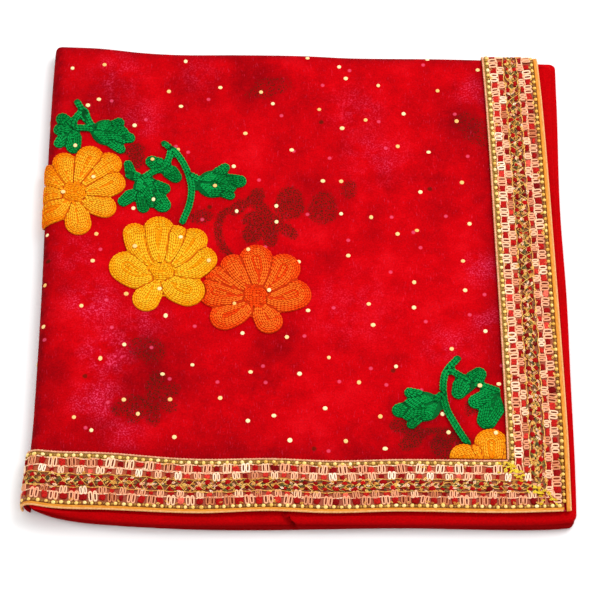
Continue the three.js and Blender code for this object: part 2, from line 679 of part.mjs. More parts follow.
function sprigSolid({ stems, lobes, clearOf }) {
  const stemPillows = stems.map((route) => {
    const spine = route.map(([a, b]) => new THREE.Vector2(a, b));
    return strokePillow(spine, spine.map(() => STEM_HALF), { crown: 0.3 });
  });
  const lobePillows = lobes.map((lobe) => strokePillow(lobeSpine(lobe), lobeHalves(lobe.half), {}));
  const sprig = joined([...stemPillows, ...lobePillows]);
  return besideLaces(sprig.subtract(flowerSpace(flowerNamed(clearOf))), lobes[0]);
}

// ---------------------------------------------------------------- the packet

const packet = new THREE.Group();
packet.position.set(-CENTRE.x, -CENTRE.y, 0);

function addPiece(name, geometry, color, roughness, metalness = 0) {
  const material = new THREE.MeshStandardMaterial({ color, roughness, metalness });
  const mesh = new THREE.Mesh(geometry, material);
  mesh.name = name;
  packet.add(mesh);
}

addPiece('net_top', netTop(), COLOR.net, 0.7);
addPiece('folded_layers', foldedLayers(), COLOR.hidden, 0.75);

// The right edge band runs down to the corner; the front lace and its band end against it.
const corner = RIGHT - BAND_WIDTH - SEAM;
const frontLaceBack = FRONT + FRONT_LACE_WIDTH.at(-1).wide + SEAM;
const halfPitch = LACE_PITCH / 2;
const strips = [
  ['lace_front', frontLacePoint, lacePlaces(corner, LEFT_ROLL, -1, halfPitch), LACE_ROWS],
  ['lace_right', rightLacePoint, lacePlaces(frontLaceBack, BACK_ROLL, 1, halfPitch), LACE_ROWS],
  ['edge_band_front', frontLacePoint, lacePlaces(corner, LEFT_ROLL, -1, LACE_PITCH), BAND_ROWS],
  ['edge_band_right', rightLacePoint, lacePlaces(FRONT, BACK_ROLL, 1, LACE_PITCH), BAND_ROWS],
];
for (const [name, place, along, rows] of strips) {
  addPiece(name, laceStrip(place, along, rows), rows === BAND_ROWS ? COLOR.band : COLOR.lace, 0.45, 0.3);
}

for (const flower of FLOWERS) {
  addPiece(flower.name, layOnNet(trimmedFlower(flower)), flower.color, 0.6);
}
for (const sprig of SPRIGS) addPiece(sprig.name, layOnNet(sprigSolid(sprig)), COLOR.leaf, 0.6);

export default packet;
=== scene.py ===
# %% [markdown]
# # A net chunri, folded into a square packet
# A chunri is a long stole of thin net, here red, with a ribbon of gold lace sewn along its edges,
# foil dots pressed on it and flowers worked in chain stitch. Folded eight by four it makes a flat
# square packet. The CAD frame gives every solid its place, and this lesson dresses them: cloth
# first, then lace, then stitches.

# %% Load the frame
import math

import bpy
import numpy as np
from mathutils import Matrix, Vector


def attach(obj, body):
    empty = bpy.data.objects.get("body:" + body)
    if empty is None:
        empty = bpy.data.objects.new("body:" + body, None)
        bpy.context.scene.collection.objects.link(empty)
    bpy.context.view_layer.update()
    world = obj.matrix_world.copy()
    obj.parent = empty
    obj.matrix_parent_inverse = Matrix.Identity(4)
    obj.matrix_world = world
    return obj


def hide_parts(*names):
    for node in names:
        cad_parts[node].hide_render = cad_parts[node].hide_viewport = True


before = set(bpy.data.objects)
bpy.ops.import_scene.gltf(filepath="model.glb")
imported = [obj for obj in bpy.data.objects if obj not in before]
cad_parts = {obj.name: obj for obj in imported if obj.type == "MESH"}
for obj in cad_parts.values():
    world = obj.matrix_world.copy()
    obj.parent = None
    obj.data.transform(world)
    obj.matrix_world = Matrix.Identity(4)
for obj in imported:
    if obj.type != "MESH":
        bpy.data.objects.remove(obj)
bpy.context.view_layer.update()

MM = 0.001
print("nodes:", sorted(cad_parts))

# %% [markdown]
# ## The cloth's own measures
# Lace and stitches lie on the net wherever it bends. So every point is given by two lengths along
# the cloth, a to the right and b to the back, and one function turns them into a place on the
# net's outer face. The sizes and tables repeat those of the solids, in millimetres.

# %% Sizes of the packet
LEFT, RIGHT, FRONT, BACK = -140.0, 135.0, -142.0, 143.0  # nominal square of the top layer
CENTRE = (-2.375, 1.456)  # middle of the packet's real outline, where the frame has its origin
NET_TOP = 11.6  # the net's outer face over the table
ROLL = 5.8  # outer radius of the left and back folds
ROLL_TURN, TRIM_TURN = math.radians(150), math.radians(120)  # how far net and trim go round them
LEFT_ROLL, BACK_ROLL = LEFT + ROLL, BACK - ROLL  # where the folds start on the cloth
ROLL_RUN, TRIM_RUN = ROLL * ROLL_TURN, ROLL * TRIM_TURN  # and what runs round them
SEAM = 0.35  # gap between two pieces that are sewn together
LACE_WIDTH, BAND_WIDTH = 32.2, 3.9  # the ribbon with its edge band, and the band
print("cloth round one fold, mm:", round(ROLL_RUN, 1))

# %% [markdown]
# ### Outline and relief
# Folded cloth is never a true square, and it is never flat. A short table gives each edge's bow.
# The soft swells of the layers below and the fine creases are smooth hills, each with a place,
# a size, a direction and a height. They could be sculpted, but numbers are easier to change.

# %% Edges, swells and creases
LEFT_FOLD = [(-142, -144.4), (-125, -143.3), (-107, -142.2), (-90, -141.5), (-20, -140.6),
             (45, -140.7), (112, -140.1), (148, -139.1)]
LACE_RIGHT = [(-142, 138.2), (-91, 138.2), (26, 135.6), (108, 133.2), (146, 131.2)]
LACE_FRONT = [(-145, -136.4), (-125, -140.3), (-97, -141.4), (-53, -143.3), (-17, -142),
              (14, -143.2), (49, -142.3), (101, -143.1), (138, -142)]
BACK_FOLD = [(-140, 150.7), (-114, 149.4), (-91, 146.5), (-69, 145), (-35, 144.9),
             (0, 144.3), (30, 142.7), (80, 142.1), (132, 140.5)]

# Swells and troughs: middle x and y, half-length, half-width, direction and height.
SWELLS = [(-95, 118, 46, 20, 10, 0.4), (20, 112, 60, 21, -14, 0.5), (70, 60, 46, 20, 28, 0.55),
          (-15, 35, 34, 20, -20, 0.35), (55, -15, 50, 22, 8, 0.4), (-100, -50, 42, 22, -32, 0.55),
          (-30, -70, 52, 21, 15, 0.5), (40, -90, 40, 20, -8, -0.2), (-60, 10, 40, 24, 30, 0.3),
          (85, -70, 30, 22, 60, 0.3)]
# Finer creases of the soft net, which the solids leave out, in the same columns.
CREASES = [(-60, 128, 30, 4.0, 12, 0.22), (35, 90, 36, 3.6, -32, 0.2), (78, 104, 22, 3.4, 64, -0.2),
           (5, 62, 34, 4.2, 24, 0.18), (62, 28, 40, 3.8, -16, 0.24), (-112, -22, 24, 3.6, 52, 0.22),
           (-46, -52, 34, 4.0, -24, 0.2), (24, -48, 38, 4.4, 10, -0.2), (-96, -82, 30, 3.8, 18, 0.22),
           (44, -68, 24, 3.4, 40, 0.18), (-20, 104, 26, 3.8, 78, 0.18), (92, 8, 26, 3.6, 84, -0.2),
           (-6, -96, 42, 4.0, 4, 0.2), (-60, 88, 24, 3.4, -40, -0.18)]
print("swells and creases:", len(SWELLS), len(CREASES))

# %% [markdown]
# ### From the cloth to the packet
# Three steps take a point of the cloth to its place: the tables bend the nominal square to the real
# outline, the hills lift it, and past the left or back fold it runs round a roll. The normal comes
# along, so that lace and thread can be lifted off the net. A lattice or a curve modifier could bend
# flat pieces too, but a function puts every piece in its place at once.

# %% Read the tables
def read_table(rows, x):
    """Read a two-column table smoothly between its rows."""
    at, value = np.array(rows, float).T
    x = np.clip(np.asarray(x, float), at[0], at[-1])
    slope = np.empty_like(at)
    slope[1:-1] = (value[2:] - value[:-2]) / (at[2:] - at[:-2])
    slope[0] = (value[1] - value[0]) / (at[1] - at[0])
    slope[-1] = (value[-1] - value[-2]) / (at[-1] - at[-2])
    i = np.clip(np.searchsorted(at, x, side="right") - 1, 0, len(at) - 2)
    run = at[i + 1] - at[i]
    t = (x - at[i]) / run
    bend = run * t * (1 - t) * (slope[i] * (1 - t) - slope[i + 1] * t)
    return value[i] + (value[i + 1] - value[i]) * t * t * (3 - 2 * t) + bend


def swell(x, y):
    """Height of all swells and creases at places seen from above."""
    z = np.zeros_like(x)
    for cx, cy, long, wide, turn, high in SWELLS + CREASES:
        c, s = math.cos(math.radians(turn)), math.sin(math.radians(turn))
        along, across = (x - cx) * c + (y - cy) * s, (y - cy) * c - (x - cx) * s
        z += high * np.exp(-((along / long) ** 2) - (across / wide) ** 2)
    return z


def plan(a, b):
    """From the nominal square to the packet's real outline, seen from above."""
    u, v = (a - LEFT) / (RIGHT - LEFT), (b - FRONT) / (BACK - FRONT)
    left, right = read_table(LEFT_FOLD, b), read_table(LACE_RIGHT, b)
    front, back = read_table(LACE_FRONT, a), read_table(BACK_FOLD, a)
    return left + (right - left) * u, front + (back - front) * v


# %% Place points on the net
def on_net(a, b, lift=0.0):
    """Points on the net's outer face, in metres, moved out by lift, and their normals."""
    a, b = np.broadcast_arrays(np.asarray(a, float), np.asarray(b, float))
    past_left, past_back = np.maximum(0, LEFT_ROLL - a), np.maximum(0, b - BACK_ROLL)
    run = np.maximum(past_left, past_back)
    turn = run / ROLL
    part = np.minimum(past_left, past_back) / np.maximum(run, 1e-9) * (math.pi / 4)
    angle = np.where(past_left >= past_back, part, math.pi / 2 - part)
    out_x, out_y = -np.cos(angle) * (run > 0), np.sin(angle) * (run > 0)
    square = np.maximum(out_x ** 4 + out_y ** 4, 1e-9) ** 0.25
    reach = ROLL * np.sin(turn) / np.where(run > 0, square, 1)
    x, y = plan(np.maximum(a, LEFT_ROLL) + out_x * reach, np.minimum(b, BACK_ROLL) + out_y * reach)
    fade = np.maximum(0, np.cos(np.minimum(turn, math.pi / 2)))
    slope_x = (swell(x + 0.5, y) - swell(x - 0.5, y)) * fade
    slope_y = (swell(x, y + 0.5) - swell(x, y - 0.5)) * fade
    normal = np.stack([out_x * np.sin(turn) - slope_x, out_y * np.sin(turn) - slope_y,
                       np.cos(turn)], -1)
    normal /= np.linalg.norm(normal, axis=-1, keepdims=True)
    z = NET_TOP - ROLL + ROLL * np.cos(turn) + swell(x, y) * fade
    points = np.stack([x - CENTRE[0], y - CENTRE[1], z], -1)
    return (points + normal * np.asarray(lift)[..., None]) * MM, normal


print("net corner at the front right, mm:", np.round(on_net(RIGHT, FRONT)[0] / MM, 1))

# %% [markdown]
# ## Mesh helpers
# A grid primitive is the natural start for cloth: it is added with as many rows as the cloth needs
# and then bent by moving its points. Its UV map keeps both lengths along the cloth, in metres, for
# patterns that follow the weave. Modifiers such as Solidify are applied at once.


def coordinates(obj):
    points = np.empty(len(obj.data.vertices) * 3)
    obj.data.vertices.foreach_get("co", points)
    return points.reshape(-1, 3)


def set_coordinates(obj, points):
    obj.data.vertices.foreach_set("co", np.ascontiguousarray(points, float).ravel())
    obj.data.update()


def only(obj):
    bpy.ops.object.select_all(action="DESELECT")
    obj.select_set(True)
    bpy.context.view_layer.objects.active = obj


def smooth(obj):
    obj.data.polygons.foreach_set("use_smooth", np.ones(len(obj.data.polygons), bool))
    obj.data.update()


def add_attribute(obj, name, values):
    layer = obj.data.attributes.new(name, "FLOAT", "POINT")
    layer.data.foreach_set("value", np.asarray(values, np.float32))


def modify(obj, kind, **settings):
    """Add a modifier with its settings and apply it."""
    only(obj)
    modifier = obj.modifiers.new(kind.title(), kind)
    for key, value in settings.items():
        setattr(modifier, key, value)
    bpy.ops.object.modifier_apply(modifier=modifier.name)


# %% Bend a grid into cloth
def spaced(from_, to, count):
    return np.linspace(from_, to, count + 1)


def cloth_grid(name, columns, rows, place):
    """A grid primitive bent to place(column, row), with both lengths kept as its UV map."""
    bpy.ops.object.select_all(action="DESELECT")
    bpy.ops.mesh.primitive_grid_add(x_subdivisions=len(columns) - 1,
                                    y_subdivisions=len(rows) - 1, size=2, calc_uvs=True)
    obj = bpy.context.object
    obj.name = name
    flat = coordinates(obj)
    i = np.rint((flat[:, 0] + 1) / 2 * (len(columns) - 1)).astype(int)
    j = np.rint((flat[:, 1] + 1) / 2 * (len(rows) - 1)).astype(int)
    across, along = np.asarray(columns)[i], np.asarray(rows)[j]
    set_coordinates(obj, place(across, along))
    corner = np.empty(len(obj.data.loops), int)
    obj.data.loops.foreach_get("vertex_index", corner)
    uv = np.stack([across[corner], along[corner]], -1) * MM
    obj.data.uv_layers[0].data.foreach_set("uv", uv.ravel().astype(np.float32))
    smooth(obj)
    return obj, across, along


# %% [markdown]
# ## Material helpers
# Colours are written as the sRGB hex values that a colour picker shows, and one function turns
# them to the linear values that shaders use. One more function adds a node with its settings.

# %% Helpers for materials
RAMP, MIX, MATH = "ShaderNodeValToRGB", "ShaderNodeMix", "ShaderNodeMath"
RANGE, NOISE, CELLS = "ShaderNodeMapRange", "ShaderNodeTexNoise", "ShaderNodeTexVoronoi"
BUMP, ATTRIBUTE, UV_MAP = "ShaderNodeBump", "ShaderNodeAttribute", "ShaderNodeUVMap"
PLACES, MAPPING, PARTS = "ShaderNodeTexCoord", "ShaderNodeMapping", "ShaderNodeSeparateXYZ"


def linear(hex_color):
    parts = [int(hex_color[i:i + 2], 16) / 255 for i in (1, 3, 5)]
    return [*(p / 12.92 if p <= 0.04045 else ((p + 0.055) / 1.055) ** 2.4 for p in parts), 1.0]


def add_node(tree, kind, inputs=(), out=0, stops=(), **settings):
    """Add a node and return one output. Inputs go by socket name, or as a list in their order,
    and each is a link, a number or a hex colour; stops are those of a colour ramp."""
    node = tree.nodes.new(kind)
    for key, value in settings.items():
        setattr(node, key, value)
    for key, value in inputs.items() if isinstance(inputs, dict) else enumerate(inputs):
        if isinstance(value, bpy.types.NodeSocket):
            tree.links.new(value, node.inputs[key])
        else:
            node.inputs[key].default_value = linear(value) if isinstance(value, str) else value
    while stops and len(node.color_ramp.elements) < len(stops):
        node.color_ramp.elements.new(0.5)
    for place, (at, color) in enumerate(stops):
        node.color_ramp.elements[place].position = at
        node.color_ramp.elements[place].color = linear(color)
    return node.outputs[out]


def new_material(name, roughness, **sockets):
    """A Principled material; returns it with its tree and shader."""
    material = bpy.data.materials.new(name)
    material.use_nodes = True
    tree = material.node_tree
    shader = tree.nodes["Principled BSDF"]
    shader.inputs["Roughness"].default_value = roughness
    for key, value in sockets.items():
        shader.inputs[key.replace("_", " ")].default_value = value
    return material, tree, shader


def surface(tree, shader, color, height, depth_mm, strength=0.6):
    """Link a colour and a relief of the given depth to the shader."""
    tree.links.new(color, shader.inputs["Base Color"])
    relief = add_node(tree, BUMP, {"Height": height, "Distance": depth_mm * MM,
                                   "Strength": strength})
    tree.links.new(relief, shader.inputs["Normal"])


# %% [markdown]
# ## Camera, light and floor
# The packet is seen from the front and from 60 degrees above, with a long lens. A bright sky of
# even white and one large soft lamp at the back right give the pale shadow in front and at the left.
# The floor is a sweep of matt white paper, which keeps the shadow soft and without a shine.

# %% Camera
ELEVATION = math.radians(60)
DISTANCE = 1.602  # metres, from the point that the camera looks at
LENS_MM, SENSOR_MM = 180, 36
AIM = Vector(((-1.8 - CENTRE[0]) * MM, (-16.7 - CENTRE[1]) * MM, 12.2 * MM))

bpy.ops.object.select_all(action="DESELECT")
away = Vector((0, -math.cos(ELEVATION), math.sin(ELEVATION)))
bpy.ops.object.camera_add(location=AIM + away * DISTANCE,
                          rotation=(math.pi / 2 - ELEVATION, 0, 0))
camera = bpy.context.object
camera.data.lens = LENS_MM
camera.data.sensor_width = SENSOR_MM
bpy.context.scene.camera = camera
bpy.context.scene.view_settings.view_transform = "Standard"
print("camera at", [round(v, 3) for v in camera.location])

# %% Light and floor
SKY_STRENGTH = 1.05
LAMP_PLACE, LAMP_SIZE, LAMP_WATTS = (0.75, 0.6, 1.15), 0.9, 13
FLOOR_SIZE = 6

world = bpy.data.worlds.new("even white light")
bpy.context.scene.world = world
world.use_nodes = True
world.node_tree.nodes["Background"].inputs["Color"].default_value = (1, 1, 1, 1)
world.node_tree.nodes["Background"].inputs["Strength"].default_value = SKY_STRENGTH

bpy.ops.object.light_add(type="AREA", location=LAMP_PLACE)
lamp = bpy.context.object
lamp.data.size = LAMP_SIZE
lamp.data.energy = LAMP_WATTS
lamp.rotation_euler = (Vector((0, 0, 0)) - lamp.location).to_track_quat("-Z", "Y").to_euler()

bpy.ops.mesh.primitive_plane_add(size=FLOOR_SIZE)
floor = bpy.context.object
floor.name = "floor"
paper, tree, shader = new_material("white paper sweep", 0.9)
shader.inputs["Base Color"].default_value = linear("#F7F7F7")
floor.data.materials.append(paper)
print("lamp", round(lamp.location.length, 2), "m away; floor", FLOOR_SIZE, "m wide")

# %% [markdown]
# ## Shapes of the embroidery
# A petal, a leaf's lobe and a stem are all one kind of shape: a stroke along a spine, with a width
# that changes on the way and a round tip. Each is a short list of circles, and how far a point lies
# inside the stroke follows from its distance to the nearest one.

# %% Flowers and sprigs as tables
# Flowers: middle on the cloth, radius, and petals from the left one round over the top, each
# with its direction from the back, reach, half-width (as parts of the radius) and bend.
FLOWERS = {
    "flower_left": (-124.4, 45.4, 28.6, [
        (134, 1.02, 0.3, -20), (95, 0.95, 0.27, -20), (58, 0.95, 0.22, -12), (20, 0.91, 0.23, -8),
        (-18, 1.11, 0.27, -4), (-41, 1.2, 0.245, -6), (-73, 1.03, 0.26, 16), (-117, 0.87, 0.24, 10),
        (-171, 0.91, 0.25, 0)]),
    "flower_yellow": (-76, -0.3, 30, [
        (96, 0.94, 0.33, -36), (41, 1.12, 0.22, -28), (6, 1.15, 0.28, -8), (-23, 1.02, 0.23, 14),
        (-45, 1.13, 0.25, 16), (-79, 1.04, 0.26, 32), (-134, 0.9, 0.31, 20), (155, 0.87, 0.24, 0)]),
    "flower_orange": (-26, -15, 30.4, [
        (85, 1, 0.3, -10), (60, 1, 0.2, -8), (33, 0.96, 0.225, -4), (-6, 1.04, 0.3, 16),
        (-47, 1.05, 0.29, 18), (-93, 0.98, 0.3, 22), (-155, 0.8, 0.24, 0), (131, 0.92, 0.27, -14)]),
    "flower_corner": (95, -122.6, 28, [
        (92, 1, 0.27, -24), (50, 0.94, 0.27, -10), (22, 0.8, 0.17, 0), (0, 1.05, 0.31, 0),
        (-42, 1.02, 0.28, 20), (-86, 1, 0.27, 24), (-134, 0.94, 0.27, 24), (-180, 0.86, 0.24, 0),
        (134, 0.94, 0.27, -24)]),
}
# Sprigs: stems as routes, and lobes with root, direction, length and half-width.
SPRIGS = {
    "sprig_left": (
        [[(-125, 103.5), (-121, 96.5), (-115.5, 87.5)],
         [(-122.7, 97.4), (-126, 92), (-127, 87)],
         [(-127, 87), (-121, 87), (-114.5, 87)]],
        [(-124, 102, -62, 13, 3.2), (-127.5, 86.5, 132, 11.5, 4.7), (-127, 86.5, 190, 10.5, 4.6),
         (-128.5, 85, 238, 13, 3.7), (-127.5, 86, 278, 15.5, 5.2), (-115, 86, -6, 20, 8.2),
         (-109.5, 86, 38, 13.5, 3.6), (-107, 84.5, -6, 15, 4.2), (-109, 83, -40, 14.5, 3.8)]),
    "sprig_middle": (
        [[(-76, 80.8), (-69.5, 75.5), (-63.2, 64), (-60.5, 52.5), (-61.5, 42), (-65, 31.5)],
         [(-72, 78), (-73.4, 70.5), (-76, 65.6), (-82, 62), (-87, 58)],
         [(-61, 61), (-55, 57.5)]],
        [(-76.5, 65.5, 150, 10.5, 4.8), (-75, 66, -48, 12, 4.6), (-87, 58.5, 174, 10, 3),
         (-92.8, 57, 106, 12, 3.1), (-87, 55, -14, 15.5, 4.4), (-86.5, 55, -52, 21.5, 5.9),
         (-88, 56, -85, 20, 4.3), (-88, 58, -62, 20, 7.6), (-89.5, 50.5, 226, 14.5, 3.9),
         (-55.5, 56.5, -8, 20, 8.7), (-50, 59, 42, 13, 3.6), (-46, 57, 0, 15.5, 4.9),
         (-48, 53.5, -33, 13, 3.4)]),
    "sprig_right": (
        [[(79.5, -52), (73.3, -60), (71.4, -69.5), (72.6, -81), (76.8, -91), (82.8, -102)],
         [(75, -58.5), (81, -62.5), (90, -67), (99, -70.5)],
         [(71, -73), (66.5, -77.5)]],
        [(82.5, -63.5, 250, 13, 4.7), (85.5, -66.5, 50, 11.5, 5), (99.5, -72.5, 203, 16.5, 5.2),
         (99, -74, 248, 20.5, 6.5), (67, -78, 203, 19.5, 8.8), (63, -76, 158, 12.5, 3.7),
         (60, -81.5, 187, 15.5, 5.2), (61, -83, 232, 13, 3.3)]),
}
print("petals:", sum(len(row[3]) for row in FLOWERS.values()),
      "lobes:", sum(len(row[1]) for row in SPRIGS.values()))

# %% From tables to strokes
SPINE = np.linspace(0, 1, 13)  # places along a petal or a lobe
PETAL_ROOT, FLOWER_EYE = 0.12, 0.24  # petals' start and the eye's size, as parts of the radius
EYE_SPREAD = 1.5  # half the length of the stroke that makes the eye
STEM_HALF, STEM_POINTS = 2.0, 25


def petal_strokes(a, b, radius, petals):
    """Circles (a, b, half-width) of each petal and of the eye."""
    strokes = []
    for turn, reach, half, bend in petals:
        angle = np.radians(90 + turn + bend * (SPINE - 0.7))
        away = (PETAL_ROOT + (reach - half - PETAL_ROOT) * SPINE) * radius
        wide = np.interp(SPINE, [0, 0.3, 0.65, 1], [0.4, 0.72, 0.95, 1]) * half * radius
        strokes.append(np.c_[a + away * np.cos(angle), b + away * np.sin(angle), wide])
    eye = np.linspace(a - EYE_SPREAD, a + EYE_SPREAD, len(SPINE))
    eye_half = np.full(len(SPINE), FLOWER_EYE * radius * 0.85)
    return strokes + [np.c_[eye, np.full(len(SPINE), b), eye_half]]


def smooth_route(route, count):
    """Even points along a route through a few given ones."""
    route = np.array(route, float)
    length = np.r_[0, np.cumsum(np.linalg.norm(np.diff(route, axis=0), axis=1))]
    at = np.linspace(0, length[-1], count)
    rows = [np.c_[length, route[:, axis]] for axis in (0, 1)]
    return np.stack([read_table(axis_rows, at) for axis_rows in rows], -1)


def sprig_strokes(stems, lobes):
    """Circles (a, b, half-width) of each stem and of each lobe."""
    strokes = [np.c_[smooth_route(route, STEM_POINTS), np.full(STEM_POINTS, STEM_HALF)]
               for route in stems]
    for a, b, turn, long, half in lobes:
        away = SPINE * (long - half * 0.8)
        wide = np.interp(SPINE, [0, 0.5, 1], [0.3, 1, 0.8]) * half
        c, s = math.cos(math.radians(turn)), math.sin(math.radians(turn))
        strokes.append(np.c_[a + away * c, b + away * s, wide])
    return strokes


def inside(stroke, a, b):
    """How far points lie outside a stroke, in millimetres; negative inside it."""
    gap = np.hypot(a[..., None] - stroke[:, 0], b[..., None] - stroke[:, 1]) - stroke[:, 2]
    return gap.min(-1)


MOTIFS = {name: petal_strokes(*row) for name, row in FLOWERS.items()}
MOTIFS |= {name: sprig_strokes(*row) for name, row in SPRIGS.items()}
print("strokes:", {name: len(strokes) for name, strokes in MOTIFS.items()})

# %% [markdown]
# ## The net's top layer
# Net this fine drapes like silk. It could be draped by a cloth simulation, but its bows and creases
# are known, so a dense grid is bent to them directly. It rolls over the left and back folds.

# %% Model the net
NET_CELLS = 170  # along each side of the flat top
ROLL_CELLS = 12  # round each fold
NET_TUCK = 1.0  # how far the net ends inside the lace's outer edge

columns = np.r_[spaced(LEFT_ROLL - ROLL_RUN, LEFT_ROLL, ROLL_CELLS),
                spaced(LEFT_ROLL, RIGHT - NET_TUCK, NET_CELLS)[1:]]
rows = np.r_[spaced(FRONT + NET_TUCK, BACK_ROLL, NET_CELLS),
             spaced(BACK_ROLL, BACK_ROLL + ROLL_RUN, ROLL_CELLS)[1:]]
net, net_a, net_b = cloth_grid("net_cloth", columns, rows, lambda a, b: on_net(a, b)[0])
print("net:", len(net.data.vertices), "points")

# %% [markdown]
# ### What shows through the net, and painted shade and sheen
# The layer below has its own leaves and flowers, which show dark through the net. The net is also
# painted darker in patches and along its edges, as painted shade, and pink in patches, as painted
# sheen. Real see-through layers would render slowly and say little more, so three attributes on the
# net mark these places for the material: ghost, dark and pink.

# %% Tables of the layer below
# Stems, then lobes with root, direction, length and half-width, and how strongly they show.
UNDER_SPRIGS = [
    ([[(-39.5, 11), (-44, 17.5), (-45.8, 25), (-45, 33), (-42, 38), (-36, 39)],
      [(-29, 45), (-22, 41), (-17, 35), (-11, 29), (-6, 24)]],
     [(-18, 36, 196, 15, 4.8), (-18, 36, 232, 21, 6.2), (-19, 34, 275, 18, 4.4),
      (-12, 29, 320, 11, 3.6), (-26, 41, 80, 12, 4.3), (-38, 37, 48, 10, 3.8)], 1.0),
    ([], [(-8, 35, 84, 19, 8.2), (-50, 36, 192, 12, 4.6)], 0.75),
    ([], [(9.5, 33, 80, 19, 8.4), (24.5, 49, 80, 11, 4.6)], 0.6),
    ([], [(100, 84, 120, 24, 8), (84, 96, 10, 18, 6), (-30, 114, 20, 26, 7)], 0.45),
    ([], [(-80, -76, 25, 17, 4.6), (-80, -76, 72, 17, 5), (-80, -76, 335, 15, 4.4),
          (-82, -77, 205, 20, 5.4), (-82, -77, 240, 17, 5), (-81, -77, 285, 16, 4.6)], 0.6),
    ([], [(-75, -49, 168, 18, 8.4)], 0.5),
    ([[(72, -94), (60, -95), (46, -92)]],
     [(60, -94, 170, 17, 4.6), (60, -97, 215, 14, 4.6), (68, -98, 285, 14, 5.4),
      (74, -96, 330, 12, 4.4), (84, -84, 60, 14, 4.6)], 0.8),
    ([], [(-92, 79, 275, 15, 4.4), (-98, 74, 20, 12, 3.6)], 0.85),
]
# Places painted darker, as painted shade of the folds below: middle, radius and strength.
SHADE_PATCHES = [(90, 98, 15, 0.6), (-78, -66, 22, 0.5), (66, -98, 20, 0.55), (-24, 120, 16, 0.45),
                (-112, 104, 22, 0.45), (-60, 118, 18, 0.3), (-132, -60, 12, 0.5),
                (10, 46, 16, 0.3), (-10, -44, 14, 0.35), (34, 96, 14, 0.2)]
# And places painted pink, as painted sheen: middle, radius and strength.
SHEEN_PATCHES = [(-112, -20, 14, 0.7), (-104, -50, 13, 0.9), (-108, -78, 12, 0.9), (-92, -96, 10, 0.6),
                (-84, -30, 12, 0.4), (96, 118, 10, 0.4), (94, 4, 9, 0.7), (76, -44, 12, 0.4),
                (40, 74, 16, 0.35), (-104, 122, 14, 0.4), (-58, 128, 10, 0.3), (-88, 96, 12, 0.35),
                (30, 104, 14, 0.3), (94, -26, 9, 0.5), (24, -20, 20, 0.25), (-122, 8, 10, 0.5)]
# Painted shade along the cloth's left, front, right and back edges: reach and strength.
EDGE_SHADE = [(7, 0.7), (10, 0.45), (8, 0.45), (5, 0.75)]
print("patches:", len(SHADE_PATCHES), "dark,", len(SHEEN_PATCHES), "pink")

# %% Mark what shows through, and the painted shade and sheen
FRONT_TRIM = 31  # what the front ribbon covers of the cloth
GHOST_EDGE = (0.6, 2.4)  # a motif below fades out over this many millimetres, from this strength
NET_WALL_MM = 0.5


def patches(rows, a, b):
    """Soft round patches, as the strongest of them at each point."""
    return np.max([high * np.exp(-(((a - x) ** 2 + (b - y) ** 2) / radius ** 2) ** 1.5)
                   for x, y, radius, high in rows], axis=0)


ghost = np.zeros(len(net_a))
for stems, lobes, strength in UNDER_SPRIGS:
    for stroke in sprig_strokes(stems, lobes):
        part = np.clip(GHOST_EDGE[0] - inside(stroke, net_a, net_b) / GHOST_EDGE[1], 0, 1)
        ghost = np.maximum(ghost, strength * part)
# Painted shade in the dark patches and along the edges; painted sheen in the pink patches.
dark, pink = patches(SHADE_PATCHES, net_a, net_b), patches(SHEEN_PATCHES, net_a, net_b)
to_edge = [net_a - LEFT, net_b - FRONT - FRONT_TRIM, RIGHT - LACE_WIDTH - net_a, BACK - net_b]
for distance, (reach, strength) in zip(to_edge, EDGE_SHADE):
    dark = np.maximum(dark, strength * np.exp(-(np.maximum(distance, 0) / reach) ** 1.5))
for name, values in (("ghost", ghost), ("dark", dark), ("pink", pink)):
    add_attribute(net, name, values)
modify(net, "SOLIDIFY", thickness=NET_WALL_MM * MM, offset=-1)
smooth(net)
print("net:", len(net.data.polygons), "faces")

# %% [markdown]
# ### Polyester net
# The real cloth is a warp-knitted polyester net. Its filaments are smooth and fine, so the eye sees
# a deep, soft red with hardly any shine, and its meshes are too fine to see from a step away: they
# read as grain. So the colour is a mottle at the size of a palm, broken by grain, and the layer
# below, painted shade and painted sheen are laid over it, mask by mask.

# %% Masks of the net
GRAIN_MM = 0.9  # real meshes are 0.5 mm; drawn coarser so that they show
CLOUD_MM, MOTTLE_MM = 28, 9  # lighter and darker places: large ones, and small ones within them
SPECK_MM = 1.15  # the stitches of the layer below, as brown specks
THREAD_MM = (0.7, 3.0)  # a lighter thread here and there: its width and length
PINK_DOTS = (31, 2.0, 0.7)  # foil dots of the layers below: pitch, size and strength
BROWN_DOTS = (83, 2.6, 0.7)


def under_dots(tree, where, pitch_mm, size_mm, strength):
    """Round dots of the layer below, one in every cell of the given pitch."""
    away = add_node(tree, CELLS, {"Vector": where, "Scale": 1 / (pitch_mm * MM)},
                    voronoi_dimensions="2D")
    edge = size_mm / 2 / pitch_mm
    return add_node(tree, RANGE, [away, edge * 0.7, edge * 1.25, strength, 0.0])


def blend(tree, layers, color):
    """Lay colours over each other: each row is a product of masks and the colour it brings."""
    for masks, over in layers:
        factor = masks[0]
        for mask in masks[1:]:
            factor = add_node(tree, MATH, [factor, mask], operation="MULTIPLY", use_clamp=True)
        color = add_node(tree, MIX, {0: factor, 6: color, 7: over}, 2, data_type="RGBA")
    return color


